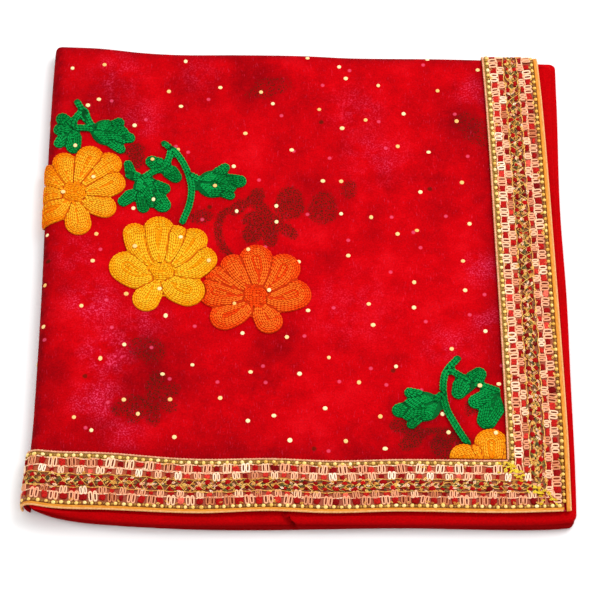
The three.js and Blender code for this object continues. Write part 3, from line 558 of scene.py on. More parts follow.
def seen_through_shade_and_sheen(tree, where, grain):
    """Masks and colours of what the layer below gives the net, and of its painted shade and sheen."""
    mottle = add_node(tree, NOISE, {"Vector": where, "Scale": 1 / (MOTTLE_MM * MM), "Detail": 5.0,
                                    "Roughness": 0.7})
    dark, pink, ghost = (add_node(tree, ATTRIBUTE, out="Fac", attribute_name=name)
                         for name in ("dark", "pink", "ghost"))
    rough_edge = add_node(tree, RANGE, [grain, 0.3, 0.7, -0.35, 0.35])
    ghost = add_node(tree, MATH, [ghost, rough_edge], operation="ADD")
    specks = add_node(tree, CELLS, {"Vector": where, "Scale": 1 / (SPECK_MM * MM)},
                      voronoi_dimensions="2D")
    stretched = add_node(tree, MAPPING, {"Vector": where, "Scale": (
        1 / (THREAD_MM[0] * MM), 1 / (THREAD_MM[1] * MM), 1 / (MOTTLE_MM * MM))})
    lint = add_node(tree, NOISE, {"Vector": stretched, "Scale": 1.0, "Detail": 2.0,
                                  "Roughness": 0.6})
    return [
        # Painted shade where the dark mask is, then painted sheen where the pink one is.
        ([dark, add_node(tree, RANGE, [mottle, 0.35, 0.6, 0.5, 1.2])], "#5A0006"),
        ([pink, add_node(tree, RANGE, [mottle, 0.4, 0.6, 0.0, 0.55])], "#C00C30"),
        ([pink, add_node(tree, RANGE, [mottle, 0.42, 0.62, 0.0, 1.0]),
          add_node(tree, RANGE, [grain, 0.5, 0.66, 0.0, 0.8])], "#E04870"),
        ([add_node(tree, RANGE, [ghost, 0.3, 0.7, 0.0, 0.5])], "#600A0C"),
        ([add_node(tree, RANGE, [specks, 0.2, 0.45, 1.0, 0.0]),
          add_node(tree, RANGE, [ghost, 0.35, 0.6, 0.0, 0.9])], "#3A1608"),
        ([add_node(tree, RANGE, [lint, 0.6, 0.76, 0.0, 0.4]),
          add_node(tree, RANGE, [mottle, 0.4, 0.6, 0.1, 0.9])], "#D83050"),
        ([under_dots(tree, where, *PINK_DOTS)], "#E04868"),
        ([under_dots(tree, where, *BROWN_DOTS)], "#3C1606"),
    ]


# %% Material of the net
def net_material(name, stops, layers_show):
    """Red net in the given reds; on top with what shows through and painted shade and sheen, in the
    folds with their painted shade.
    """
    material, tree, shader = new_material(name, 0.8, Specular_IOR_Level=0.02)
    where = add_node(tree, PLACES, out="Object")
    cloud = add_node(tree, NOISE, {"Vector": where, "Scale": 1 / (CLOUD_MM * MM), "Detail": 6.0,
                                   "Roughness": 0.72})
    grain = add_node(tree, NOISE, {"Vector": where, "Scale": 1 / (GRAIN_MM * MM), "Detail": 1.0})
    red = add_node(tree, RAMP, [cloud], stops=stops)
    if layers_show:
        red = blend(tree, seen_through_shade_and_sheen(tree, where, grain), red)
    else:
        # Painted shade: the folds darker low down and in the front pleat.
        low = add_node(tree, ATTRIBUTE, out="Fac", attribute_name="low")
        red = blend(tree, [([low], "#7C0002")], red)
    shade = add_node(tree, RANGE, [grain, 0.3, 0.7, 0.84, 1.12])
    red = add_node(tree, MIX, {0: 1.0, 6: red, 7: shade}, 2, data_type="RGBA",
                   blend_type="MULTIPLY")
    surface(tree, shader, red, grain, 0.08, 0.5)
    return material


NET_REDS = [(0.3, "#960006"), (0.45, "#AE0007"), (0.56, "#BE0008"), (0.75, "#CE0814")]
net.data.materials.append(net_material("knitted polyester net, red", NET_REDS, True))
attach(net, "root")
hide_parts("net_top")

# %% [markdown]
# ## The hidden layers' folds
# Thirty-two layers of net make a stack with soft round folds. It shows as a plain red face along the
# front, where one short pleat runs down and the cloth turns under low down, and as a strip at the
# right. Thirty-two sheets would cross each other, so the stack is one form, lofted from rings around
# the packet: a grid closed into a tube, with its two ends filled.

# %% Sizes of the folds
HIDDEN_TOP, HIDDEN_LIP = 9.9, 10.4  # top of the hidden layers under the net and beside the lace
# Outermost edges of the hidden layers: x at the right by y, and y at the front by x.
HIDDEN_RIGHT = [(-140, 140.4), (-77, 141.5), (-14, 141.1), (43, 140.5), (122, 141), (142, 141.5)]
HIDDEN_FRONT = [(-139, -136.2), (-128, -140.7), (-112, -144), (-87, -146.2), (-50, -147.4),
                (50, -147), (110, -147.4), (132, -146.4), (138, -144.2), (141, -140.8)]
# Folds from the top one down: underside, inset of the nose at the right, depth of the groove
# under it at the right and at the front.
FOLDS = [(8.0, 3.1, 0.5, 0.05), (5.4, 0.1, 0.3, 0.25), (3.0, 0.7, 0.4, 0.05), (0.0, 0.4, 0.6, 0.4)]
# The front face is one smooth curve: height, and how far it stands back.
FRONT_FACE = [(0, 0.9), (1.2, 0.3), (3, 0), (5.4, 0.3), (8, 1.5), (10.4, 3.2)]
SHADE_BELOW, SHADE_FADE = 8.0, 2.6  # below this height the folds are painted deeper red, as painted shade
# A pleat runs down the front face: its place at the floor, lean, half-width and depth.
PLEAT_X, PLEAT_LEAN, PLEAT_HALF, PLEAT_DEEP = -3.9, -0.56, 1.3, 3.2
PLEAT_FOOT, PLEAT_FADE = 1.5, 3.0  # it starts at this height, and is whole this much higher
print("folds:", len(FOLDS))

# %% Rings around the packet
PATH_CELLS = 240  # along each side
CORNER = 0.012  # radius of the packet's corners, as a part of its width
RING_PARTS = (0.04, 0.12, 0.25, 0.42, 0.6, 0.76, 0.88, 0.96)  # places of rings down one fold
# Slow waves along the right and front edges: height, and length divided by two pi.
WAVE_HIGH, WAVES_MM = 0.3, (19, 23)


def packet_path(cells):
    """Parts 0 to 1 of the packet's width and depth around a square with rounded corners."""
    quarter = np.linspace(0, math.pi / 2, 7)[1:-1]
    side = np.linspace(CORNER, 1 - CORNER, cells + 1)
    turned, other = CORNER * (1 - np.sin(quarter)), CORNER * (1 - np.cos(quarter))
    one, zero = np.ones_like(side), np.zeros_like(side)
    pieces = [(side, zero), (1 - turned, other), (one, side), (1 - other, 1 - turned),
              (side[::-1], one), (turned, 1 - other), (zero, side[::-1]), (other, turned)]
    return np.concatenate([p[0] for p in pieces]), np.concatenate([p[1] for p in pieces])


def fold_rings():
    """Height and insets (right, front) of every ring, from the top down."""
    rings, over, groove = [], HIDDEN_LIP, (0.5, 0.1)
    for k, (under, right, *dip) in enumerate(FOLDS):
        for t in RING_PARTS:
            round_off = 1 - math.sqrt(1 - (2 * t - 1) ** 2)
            dips, z = groove if t < 0.5 else dip, over + (under - over) * t
            rings.append((z, k, right + dips[0] * round_off,
                          float(read_table(FRONT_FACE, z)) + dips[1] * round_off))
        over, groove = under, dip
    return rings


def pleat_at(x, z, sharp=1):
    """1 in the front face's pleat and 0 away from it; one side can be sharper than the other."""
    away = (x - PLEAT_X - PLEAT_LEAN * z) / PLEAT_HALF
    deep = np.exp(-(np.where(away > 0, away, away * sharp) ** 2))
    return deep * np.clip((z - PLEAT_FOOT) / PLEAT_FADE, 0, 1)


u, v = packet_path(PATH_CELLS)
path_a, path_b = LEFT + (RIGHT - LEFT) * u, FRONT + (BACK - FRONT) * v
print("points of a ring:", len(u))

# %% Model the stack of folds
inner = ROLL - 1.6  # the stack's own radius inside the net's rolls


def ring_points(z, right, front):
    """One ring: the net's left and back edges, and the given right and front ones."""
    round_in = ROLL - math.sqrt(max(0, inner ** 2 - (z - NET_TOP + ROLL) ** 2))
    left = read_table(LEFT_FOLD, path_b) + round_in
    back = read_table(BACK_FOLD, path_a) - round_in
    x = left + (right - left) * u
    y = front + (back - front) * v
    return np.stack([x - CENTRE[0], y - CENTRE[1], np.full_like(x, z)], -1) * MM


lace_right, lace_front = read_table(LACE_RIGHT, path_b), read_table(LACE_FRONT, path_a)
stack = [ring_points(HIDDEN_TOP, lace_right - inset, lace_front + inset) for inset in (1.6, 0.9)]
for z, k, inset_right, inset_front in fold_rings():
    wave_b, wave_a = (WAVE_HIGH * np.sin(path / long + 2 * k)
                      for path, long in zip((path_b, path_a), WAVES_MM))
    right = read_table(HIDDEN_RIGHT, path_b) - inset_right + wave_b
    front = read_table(HIDDEN_FRONT, path_a) + inset_front + wave_a
    front = front + PLEAT_DEEP * pleat_at(path_a, z, sharp=2)
    if k == 0:
        right, front = np.maximum(right, lace_right + 0.4), np.minimum(front, lace_front - 0.4)
    stack.append(ring_points(z, right, front))
stack.append(ring_points(0.0, right - 0.3, front + 0.3))
stack = np.array(stack)

folds, _, _ = cloth_grid(
    "net_folds", np.arange(len(u) + 1) % len(u), np.arange(len(stack)),
    lambda i, j: stack[j.astype(int), i.astype(int)])
print("folds:", len(folds.data.polygons), "faces,", len(stack), "rings")

# %% Close the stack and shade it
only(folds)
bpy.ops.object.mode_set(mode="EDIT")
bpy.ops.mesh.select_all(action="SELECT")
bpy.ops.mesh.remove_doubles(threshold=1e-6)
bpy.ops.mesh.select_all(action="DESELECT")
bpy.ops.mesh.select_non_manifold()
bpy.ops.mesh.edge_face_add()
bpy.ops.mesh.select_all(action="SELECT")
bpy.ops.mesh.normals_make_consistent(inside=False)
bpy.ops.object.mode_set(mode="OBJECT")
bpy.ops.object.shade_smooth_by_angle(angle=math.radians(50))
x, y, z = coordinates(folds).T / MM
# Painted shade: darker low on the folds and in the front pleat.
pleat = pleat_at(x + CENTRE[0], z) * (y < 0)
add_attribute(folds, "low", np.maximum(np.clip((SHADE_BELOW - z) / SHADE_FADE, 0, 1), pleat))
folds.data.materials.append(net_material(
    "knitted polyester net, red, folded", [(0.3, "#AE0004"), (0.7, "#BE0006")], False))
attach(folds, "root")
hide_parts("folded_layers")
print("folds closed:", len(folds.data.polygons), "faces")

# %% [markdown]
# ## Lace ribbons
# Gota lace is a woven ribbon: a bronze ground, rows of wire loops and small red pads in turns,
# crossing threads in the middle, and a line of beads at each edge. The ground is a strip of cloth,
# bent from a grid as the net is. What stands on it is modelled once and repeated at the ribbon's
# pitch. Places on a ribbon are lengths too: across it from its inner edge, and along the packet.

# %% Places on the ribbons
# The front ribbon's width along the packet; the right one keeps its own.
FRONT_LACE_WIDTH = [(-150, 31), (-110, 32.8), (-60, 31.2), (0, 30.2), (140, 30.8)]
# The front ribbon is stretched across: places on the right one, and where they are on the front.
FRONT_ACROSS = [(0, 0.4), (2.7, 2.8), (5.9, 6.4), (9.9, 10.9), (13.4, 14.8), (17.3, 18.1),
                (20.8, 21.7), (24.7, 25.3), (28, 28.9), (31.15, 31.65), (32.2, 32.2)]


def on_front_lace(across, along, lift=0.0):
    across = np.interp(across, *zip(*FRONT_ACROSS))
    wide = read_table(FRONT_LACE_WIDTH, along)
    return on_net(along, FRONT + wide * (1 - across / LACE_WIDTH), lift)


def on_right_lace(across, along, lift=0.0):
    return on_net(RIGHT - LACE_WIDTH + np.asarray(across), along, lift)


print("front ribbon's inner corner, mm:", np.round(on_front_lace(0, LEFT)[0] / MM, 1))

# %% The ground of both ribbons
LACE_PITCH = 9.8  # one group of loops and one pad
GROUND_WIDTH = 28.9  # the ribbon without its band
GROUND_LIFT, GROUND_BULGE = SEAM + 0.9, 0.12  # the ground's face over the net, and its rows' swell
GROUND_WALL, BAND_WALL = 0.5, 0.4
STRIP_STEP = 2.2  # from row to row along a strip
CORNER_END = RIGHT - BAND_WIDTH - SEAM  # where the front ribbon ends
FRONT_LACE_BACK = FRONT + 30.8 + SEAM  # and where the right one starts
# Each ribbon's own function, its two ends and where its edge band ends.
RIBBONS = {
    "front": (on_front_lace, LEFT_ROLL - TRIM_RUN, CORNER_END, (LEFT_ROLL - TRIM_RUN, CORNER_END)),
    "right": (on_right_lace, FRONT_LACE_BACK, BACK_ROLL + TRIM_RUN, (FRONT, BACK_ROLL + TRIM_RUN)),
}


def ground_lift(across):
    """The ground bulges a little under each of its six rows."""
    return GROUND_LIFT + GROUND_BULGE * np.sin(across / GROUND_WIDTH * math.pi * 6) ** 2


def ribbon_strip(name, place, across, lifts, span, wall):
    """A strip of cloth on a ribbon, with its lifts across it and a wall."""
    along = spaced(span[0], span[1], int((span[1] - span[0]) / STRIP_STEP))
    strip, _, _ = cloth_grid(name, across, along,
                             lambda s, l: place(s, l, np.interp(s, across, lifts))[0])
    modify(strip, "SOLIDIFY", thickness=wall * MM, offset=-1)
    only(strip)
    bpy.ops.object.mode_set(mode="EDIT")
    bpy.ops.mesh.select_all(action="SELECT")
    bpy.ops.mesh.normals_make_consistent(inside=False)
    bpy.ops.object.mode_set(mode="OBJECT")
    smooth(strip)
    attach(strip, "root")
    return strip


across = np.linspace(0, GROUND_WIDTH, 25)
grounds = {}
for side, (place, start, end, _) in RIBBONS.items():
    grounds[side] = ribbon_strip(f"lace_ground_{side}", place, across, ground_lift(across),
                                 (start, end), GROUND_WALL)
    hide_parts(f"lace_{side}")
print("ribbon grounds:", {side: len(g.data.polygons) for side, g in grounds.items()})

# %% [markdown]
# ### One of each: loop, pad, bead, drop
# Each small piece of the lace starts as a primitive. A torus drawn apart is a loop of thread, and
# two side by side are a group. A ball pressed towards a box is a padded square, and a plain ball,
# flattened, is a bead or a drop. None has more than about a hundred faces, because hundreds of
# copies follow.

# %% Templates of the lace
RING_RADIUS = 0.48  # half the thickness of a loop's thread


def thread_ring(long, wide, radius, x=0.0, segments=12, sides=5):
    """An elongated ring of thread: a torus whose two halves are drawn apart, lying on the cloth."""
    bpy.ops.object.select_all(action="DESELECT")
    bpy.ops.mesh.primitive_torus_add(major_segments=segments, minor_segments=sides,
                                     major_radius=wide / 2 - radius, minor_radius=radius)
    ring = bpy.context.object
    points = coordinates(ring)
    far = np.abs(points[:, 1]) > 0.05 * wide  # all but the points at the middle
    points[:, 1] += np.sign(points[:, 1]) * far * (long - wide) / 2
    points[:, 0] += x
    set_coordinates(ring, points)
    return ring


def joined(objects):
    """Join objects into the first one."""
    bpy.ops.object.select_all(action="DESELECT")
    for obj in objects:
        obj.select_set(True)
    bpy.context.view_layer.objects.active = objects[0]
    bpy.ops.object.join()
    return bpy.context.object


def loop_group(long, wide):
    """Two loops side by side: four bars of thread across the ribbon."""
    half = wide / 2
    return joined([thread_ring(long, half + 0.1, RING_RADIUS, x) for x in (-half / 2, half / 2)])


def ball(size, segments=8, rings=6):
    """A ball flattened to the given size."""
    bpy.ops.object.select_all(action="DESELECT")
    bpy.ops.mesh.primitive_uv_sphere_add(segments=segments, ring_count=rings, radius=0.5)
    obj = bpy.context.object
    set_coordinates(obj, coordinates(obj) * np.array(size))
    return obj


def pad(long, wide, high):
    """A puffed pad: a ball pressed towards a box."""
    obj = ball((1, 1, 1), 12, 6)
    points = coordinates(obj) * 2
    set_coordinates(obj, np.sign(points) * np.abs(points) ** 0.6 / 2 * np.array([long, wide, high]))
    return obj


large_loop, small_loop = loop_group(5.2, 5.3), loop_group(4.2, 4.4)
large_pad, small_pad = pad(3.9, 3.9, 0.9), pad(3.1, 3.1, 0.8)
gold_bead, bronze_bead, drop = ball((2.3, 2.1, 1.6)), ball((1.5, 1.7, 1.1)), ball((3.6, 2.9, 1.3))
tangle = thread_ring(1.3, 2.6, 0.25, segments=8, sides=4)
TEMPLATES = [large_loop, small_loop, large_pad, small_pad, gold_bead, bronze_bead, drop, tangle]
print("faces of the templates:", [len(t.data.polygons) for t in TEMPLATES])

# %% [markdown]
# ### Metal threads, silk and glass beads
# The loops are zari: a metal-coated film wound round a thread. The film is broken by the winding, so
# the eye sees a soft shine in the thread's own colour and no mirror. The pads are silk floss, matt
# with a rough mottle. The beads are gold-lined glass: smooth, so each has one small sharp light.
# Every copy carries its own tint along its material's ramp, as the real ones vary.

# %% A material with tints
def tinted(name, stops, roughness, grain_mm=0.35, depth_mm=0.05, shades=(0.82, 1.1), **sockets):
    """A thread or bead material: its colour follows its copy's tint along a ramp, and a grain of
    the thread's own size shades it and stands out a little."""
    sockets.setdefault("Specular_IOR_Level", 0.5 if "Metallic" in sockets else 0.03)
    material, tree, shader = new_material(name, roughness, **sockets)
    tint = add_node(tree, ATTRIBUTE, out="Fac", attribute_name="tint")
    color = add_node(tree, RAMP, [tint], stops=stops)
    where = add_node(tree, PLACES, out="Object")
    grain = add_node(tree, NOISE, {"Vector": where, "Scale": 1 / (grain_mm * MM), "Detail": 1.0})
    shade = add_node(tree, RANGE, [grain, 0.3, 0.7, *shades])
    color = add_node(tree, MIX, {0: 1.0, 6: color, 7: shade}, 2, data_type="RGBA",
                     blend_type="MULTIPLY")
    surface(tree, shader, color, grain, depth_mm)
    return material


# %% Materials of the lace
# Zari is drawn less metallic than real: its winding scatters most of the film's shine.
cream_zari = tinted("zari thread, cream and pink", [(0, "#CC7850"), (0.35, "#F0A880"),
                                                    (0.7, "#FCCEA6"), (1, "#FFE8CC")], 0.42)
gold_zari = tinted("zari thread, gold", [(0, "#B86818"), (0.5, "#DC9834"), (1, "#F8CC68")], 0.35,
                   Metallic=0.2)
green_zari = tinted("zari thread, green and bronze",
                    [(0, "#24340E"), (0.5, "#5C5414"), (1, "#A08030")], 0.45, Metallic=0.2)
copper_zari = tinted("zari cord, copper pink", [(0, "#D08058"), (1, "#F4BE98")], 0.4)
yellow_zari = tinted("sewing thread, bright yellow", [(0, "#E0B010"), (1, "#F6E048")], 0.4)
red_silk = tinted("silk pad, red", [(0, "#6C0406"), (0.5, "#A40E0C"), (0.85, "#CC3428"),
                                    (1, "#E46450")], 0.5, grain_mm=0.8, depth_mm=0.2,
                  shades=(0.6, 1.45))
# A dark pad behind each group of loops, as painted shade.
loop_shade_pad = tinted("painted shade behind the loops", [(0, "#561806"), (1, "#8A3010")], 0.6)
dark_silk = tinted("silk drop, dark red", [(0, "#6C0204"), (1, "#B80C0C")], 0.4)
gold_glass = tinted("gold-lined glass bead", [(0, "#DCA438"), (0.5, "#F6D070"), (1, "#FFECA8")],
                    0.18, Metallic=0.2)
bronze_glass = tinted("bronze-lined glass bead", [(0, "#7C4E08"), (1, "#C08A28")], 0.25,
                      Metallic=0.3)
print("materials so far:", len(bpy.data.materials))

# %% The woven ground
# Bronze zari woven with red silk: knuckles of thread that catch the light, with dark between them.
WEAVE_MM = 0.6  # real threads are 0.5 mm apart
ZONES = [(0.0, "#A07410"), (0.13, "#A07410"), (0.14, "#B04C1C"), (0.4, "#B04C1C"),
         (0.41, "#8A3E08"), (0.64, "#8A3E08"), (0.65, "#A0401A"), (0.92, "#A0401A"),
         (0.93, "#9C500C")]
ground_cloth, tree, shader = new_material("woven bronze ribbon ground", 0.55, Metallic=0.2)
ribbon_uv = add_node(tree, UV_MAP, out="UV", uv_map="UVMap")
across_m = add_node(tree, PARTS, [ribbon_uv])
part = add_node(tree, MATH, [across_m, GROUND_WIDTH * MM], operation="DIVIDE")
zones = add_node(tree, RAMP, [part], stops=ZONES)
weave = add_node(tree, CELLS, {"Vector": ribbon_uv, "Scale": 1 / (WEAVE_MM * MM),
                               "Randomness": 0.35}, voronoi_dimensions="2D")
shade = add_node(tree, RANGE, [weave, 0.0, 0.7, 1.35, 0.45])
woven = add_node(tree, MIX, {0: 1.0, 6: zones, 7: shade}, 2, data_type="RGBA",
                 blend_type="MULTIPLY")
surface(tree, shader, woven, weave, 0.15, 0.7)
for ground in grounds.values():
    ground.data.materials.append(ground_cloth)
print("zones across the ground:", len(ZONES) // 2 + 1)

# %% [markdown]
# ### Rows of the ribbons
# Each row repeats one piece at the ribbon's pitch, a little off its place, size and shade, because
# handwork is. An array modifier would copy them too evenly, so one function works out every copy's
# place and frame and joins them in one mesh. At the corner the two ribbons meet on a slanting seam,
# and each keeps only what lies on its own side of it.

# %% Copies on cloth
rng = np.random.default_rng(7)  # one seeded source for all that varies


def copies(name, template, spots, frames, tint=None):
    """Join copies of a template mesh: one spot and one 3 by 3 frame for each copy."""
    shape, source = coordinates(template), template.data
    corner = np.empty(len(source.loops), int)
    source.loops.foreach_get("vertex_index", corner)
    start = np.empty(len(source.polygons), int)
    source.polygons.foreach_get("loop_start", start)
    count = len(spots)
    points = spots[:, None, :] + np.einsum("vi,nij->nvj", shape, frames)
    mesh = bpy.data.meshes.new(name)
    mesh.vertices.add(count * len(shape))
    mesh.loops.add(count * len(corner))
    mesh.polygons.add(count * len(start))
    step = np.arange(count)[:, None]
    mesh.vertices.foreach_set("co", points.ravel())
    mesh.loops.foreach_set("vertex_index", (corner[None] + step * len(shape)).ravel())
    mesh.polygons.foreach_set("loop_start", (start[None] + step * len(corner)).ravel())
    mesh.update(calc_edges=True)
    obj = bpy.data.objects.new(name, mesh)
    bpy.context.collection.objects.link(obj)
    smooth(obj)
    if tint is None:
        tint = rng.random(count)
    add_attribute(obj, "tint", np.repeat(tint, len(shape)))
    return obj


def frames_along(place, across, along, d_across, d_along, lift, size):
    """Spots and frames on a cloth: x runs along the given direction, z stands off the cloth."""
    spots, up = place(across, along, lift)
    ahead = place(across + d_across * 0.5, along + d_along * 0.5, lift)[0]
    x = ahead - spots
    x -= up * np.sum(x * up, -1, keepdims=True)
    x /= np.linalg.norm(x, axis=-1, keepdims=True)
    y = np.cross(up, x)
    size = np.broadcast_to(np.asarray(size, float), (len(spots), 3))
    return spots, np.stack([x * size[:, :1], y * size[:, 1:2], up * size[:, 2:]], 1)


# %% Lay copies along a ribbon
# Size of a loop along and across, by side: the front ribbon is drawn out across.
SIDE_SHAPE = {"front": (0.88, 1.14, 1.0), "right": (1.1, 0.92, 1.0)}
TINT_SPREAD = 0.22


def at_pitch(span, pitch, phase):
    """Even places along a span; the phase is a part of the pitch."""
    first = math.ceil(span[0] / pitch - phase) + phase
    return np.arange(first, span[1] / pitch, 1.0) * pitch


def own_side(side, across, along):
    """True where a point of a ribbon lies on its own side of the corner seam."""
    if side == "front":
        return along - (RIGHT - LACE_WIDTH) < np.interp(across, *zip(*FRONT_ACROSS))
    wide = read_table(FRONT_LACE_WIDTH, RIGHT)
    return (1 - (along - FRONT) / wide) * LACE_WIDTH < across


def lay(side, template, across, along, lift, material, tone=0.5, spread=0.15, size=0.08, skew=0.08,
        shape=(1.0, 1.0, 1.0)):
    """Copies of a template on a ribbon, each a little off its place, size and tone."""
    count = len(along)
    across = np.broadcast_to(across, count) + rng.normal(0, spread, count)
    along = along + rng.normal(0, spread, count)
    turn = rng.normal(0, skew, count)
    scale = MM * (1 + rng.normal(0, size, (count, 3))) * np.array(shape)
    tint = np.clip(rng.normal(tone, TINT_SPREAD, count), 0, 1)
    keep = own_side(side, across, along)
    spots, frames = frames_along(RIBBONS[side][0], across[keep], along[keep], turn[keep],
                                 np.ones(keep.sum()), np.broadcast_to(lift, count)[keep],
                                 scale[keep])
    piece = copies(material.name, template, spots, frames, tint[keep])
    piece.data.materials.append(material)
    return piece


# %% Loops, pads, beads and drops
# Rows: middle across the ribbon, phase, and the tone of the threads in front and at the right;
# the front ribbon's outer rows are painted darker, as painted shade.
LARGE_ROWS = [(5.9, 0.0, {"front": 0.55, "right": 0.6}), (24.7, 0.25, {"front": 0.2, "right": 0.5})]
SMALL_ROWS = [(9.9, 0.5, {"front": 0.72, "right": 0.5}),
              (20.8, 0.72, {"front": 0.3, "right": 0.45})]
DROP_ROWS = [(13.4, 0.1), (17.3, 0.6)]
BEAD_ROWS, BEAD_PITCH = [2.7, 28.0], 3.9
BEAD_TONES = {"front": (0.55, 0.5), "right": (0.6, 0.15)}  # inner and outer row


def loops_and_pads(side, span):
    """Wire loops and silk pads in turns, in two large and two small rows; each group of loops has
    a dark pad behind it, as painted shade."""
    rows = []
    for template, puff, row_set, high in ((large_loop, large_pad, LARGE_ROWS, 0.45),
                                          (small_loop, small_pad, SMALL_ROWS, 0.4)):
        for s, phase, tones in row_set:
            top = GROUND_LIFT + high
            rows.append(lay(side, puff, s, at_pitch(span, LACE_PITCH, phase), top - 0.5,
                            loop_shade_pad, shape=SIDE_SHAPE[side]))
            rows.append(lay(side, template, s, at_pitch(span, LACE_PITCH, phase), top, cream_zari,
                            tones[side], shape=SIDE_SHAPE[side]))
            rows.append(lay(side, puff, s, at_pitch(span, LACE_PITCH, (phase + 0.5) % 1),
                            top - 0.15, red_silk, 0.45, 0.25, 0.16, 0.2, SIDE_SHAPE[side]))
    return rows


def beads_and_drops(side, span):
    """Gold and bronze beads in turns at both edges, and large and small drops in the middle."""
    rows = []
    for s, tone in zip(BEAD_ROWS, BEAD_TONES[side]):
        rows.append(lay(side, gold_bead, s, at_pitch(span, BEAD_PITCH, 0.0), GROUND_LIFT + 0.55,
                        gold_glass, tone))
        rows.append(lay(side, bronze_bead, s, at_pitch(span, BEAD_PITCH, 0.5), GROUND_LIFT + 0.4,
                        bronze_glass, tone - 0.1))
    for s, phase in DROP_ROWS:
        for shift, scale in ((0, 1.0), (0.5, 0.7)):
            rows.append(lay(side, drop, s, at_pitch(span, LACE_PITCH, (phase + shift) % 1),
                            GROUND_LIFT + 0.45, dark_silk, 0.45, 0.3, 0.12, 0.2, (scale,) * 3))
    return rows


# %% Tangles, and all rows together
MIDDLE = 15.4  # of the ribbon's ground
TANGLES_PER_MM = {"front": 2.4, "right": 3.0}
RIBBON_START = {"front": RIBBONS["front"][1], "right": FRONT + 2}


def tangles(side, span):
    """Short loose loops of thread, mostly round the drops and beside the lines."""
    rows = []
    for material, share, lines in ((cream_zari, 0.3, [8.0, 11.7, 19.3, 22.7]),
                                   (gold_zari, 0.52, [4.2, 11.7, 19.3, 26.4]),
                                   (green_zari, 0.18, [MIDDLE, 12.2, 18.8])):
        count = int((span[1] - span[0]) * TANGLES_PER_MM[side] * share)
        along = rng.uniform(*span, count)
        s = np.where(rng.random(count) < 0.62, rng.normal(MIDDLE, 1.5, count),
                     rng.choice(lines, count) + rng.normal(0, 0.3, count))
        rows.append(lay(side, tangle, s, along, GROUND_LIFT + rng.uniform(0.4, 0.85, count),
                        material, 0.6, 0.2, 0.15, 0.9))
    return rows


for side, (_, _, end, _) in RIBBONS.items():
    span = (RIBBON_START[side] + 1.2, end - 1.2)
    rows = loops_and_pads(side, span) + beads_and_drops(side, span) + tangles(side, span)
    lace_rows = joined(rows)
    lace_rows.name = f"lace_rows_{side}"
    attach(lace_rows, "root")
    print(side, "rows:", len(lace_rows.data.polygons), "faces")

# %% [markdown]
# ### Threads along the ribbons
# Between the rows run thin cords, which wave a little where they are caught down, and in the middle
# threads cross over each other. A curve with a round bevel is the natural way to draw a thread: its
# radius swells and narrows from point to point, which reads as twist. It is then made a mesh.

# %% Run the threads along both ribbons
CREAM_LINES, GOLD_LINES = [4.0, 8.0, 22.7], [11.7, 19.3]  # across the ribbon
THREAD_STEP = 0.8  # from point to point


def threads(name, lines, radius, ripple=0.0, sides=1):
    """Round threads along lines of points in metres, joined in one mesh."""
    curve = bpy.data.curves.new(name, "CURVE")
    curve.dimensions = "3D"
    curve.bevel_depth = radius
    curve.bevel_resolution = sides
    curve.use_fill_caps = True
    for line in lines:
        spline = curve.splines.new("POLY")
        spline.points.add(len(line) - 1)
        spline.points.foreach_set("co", np.c_[line, np.ones(len(line))].ravel())
        swing = 1 + ripple * np.cos(np.arange(len(line)) * math.pi)
        spline.points.foreach_set("radius", swing)
    obj = bpy.data.objects.new(name, curve)
    bpy.context.collection.objects.link(obj)
    only(obj)
    bpy.ops.object.convert(target="MESH")
    smooth(obj)
    return obj


def zigzag(across, half, period, phase, span):
    """A thread that swings to both sides of a line, unevenly."""
    along = spaced(span[0], span[1], int((span[1] - span[0]) / (period / 4)))
    swing = np.abs(((along / period + phase) % 1) * 4 - 2) - 1
    swing *= 1 + 0.3 * np.sin(along * 0.7 + phase * 9)
    return across + half * swing, along


def thread_lines(side, routes, lift, radius, material):
    """Threads along routes of (across, along), each up to the corner seam."""
    lines = []
    for across, along in routes:
        keep = own_side(side, across, along)
        lines.append(RIBBONS[side][0](across[keep], along[keep], lift)[0])
    line = threads(material.name, lines, radius * MM, ripple=0.22)
    add_attribute(line, "tint", rng.random(len(line.data.vertices)))
    line.data.materials.append(material)
    return line


for side, (_, _, end, _) in RIBBONS.items():
    span = (RIBBON_START[side] + 0.3, end - 0.3)
    along = spaced(*span, int((span[1] - span[0]) / THREAD_STEP))
    wave = 2 * math.pi * along / LACE_PITCH
    lines = {s: (s + 0.3 * np.sin(wave + s) + 0.12 * np.sin(along / 7 + s), along)
             for s in CREAM_LINES + GOLD_LINES}
    crossing = [zigzag(MIDDLE, 3.4, LACE_PITCH, phase, span) for phase in (0.1, 0.6)]
    green = zigzag(MIDDLE, 0.7, LACE_PITCH / 2, 0.25, span)
    top = GROUND_LIFT + 0.35
    lace_lines = joined([
        thread_lines(side, [lines[s] for s in CREAM_LINES], top, 0.36, cream_zari),
        thread_lines(side, [lines[s] for s in GOLD_LINES] + crossing, top + 0.2, 0.28, gold_zari),
        thread_lines(side, [green], top, 0.3, green_zari),
        thread_lines(side, [(np.full_like(along, 0.55), along)], top - 0.1, 0.5, copper_zari)])
    lace_lines.name = f"lace_threads_{side}"
    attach(lace_lines, "root")
    print(side, "threads:", len(lace_lines.data.polygons), "faces")

# %% [markdown]
# ### The corner seam
# The two ribbons meet on a slanting seam. A few bright yellow stitches hold it, most of them at its
# inner end. They are the same short loops as the tangles, strewn along the seam.

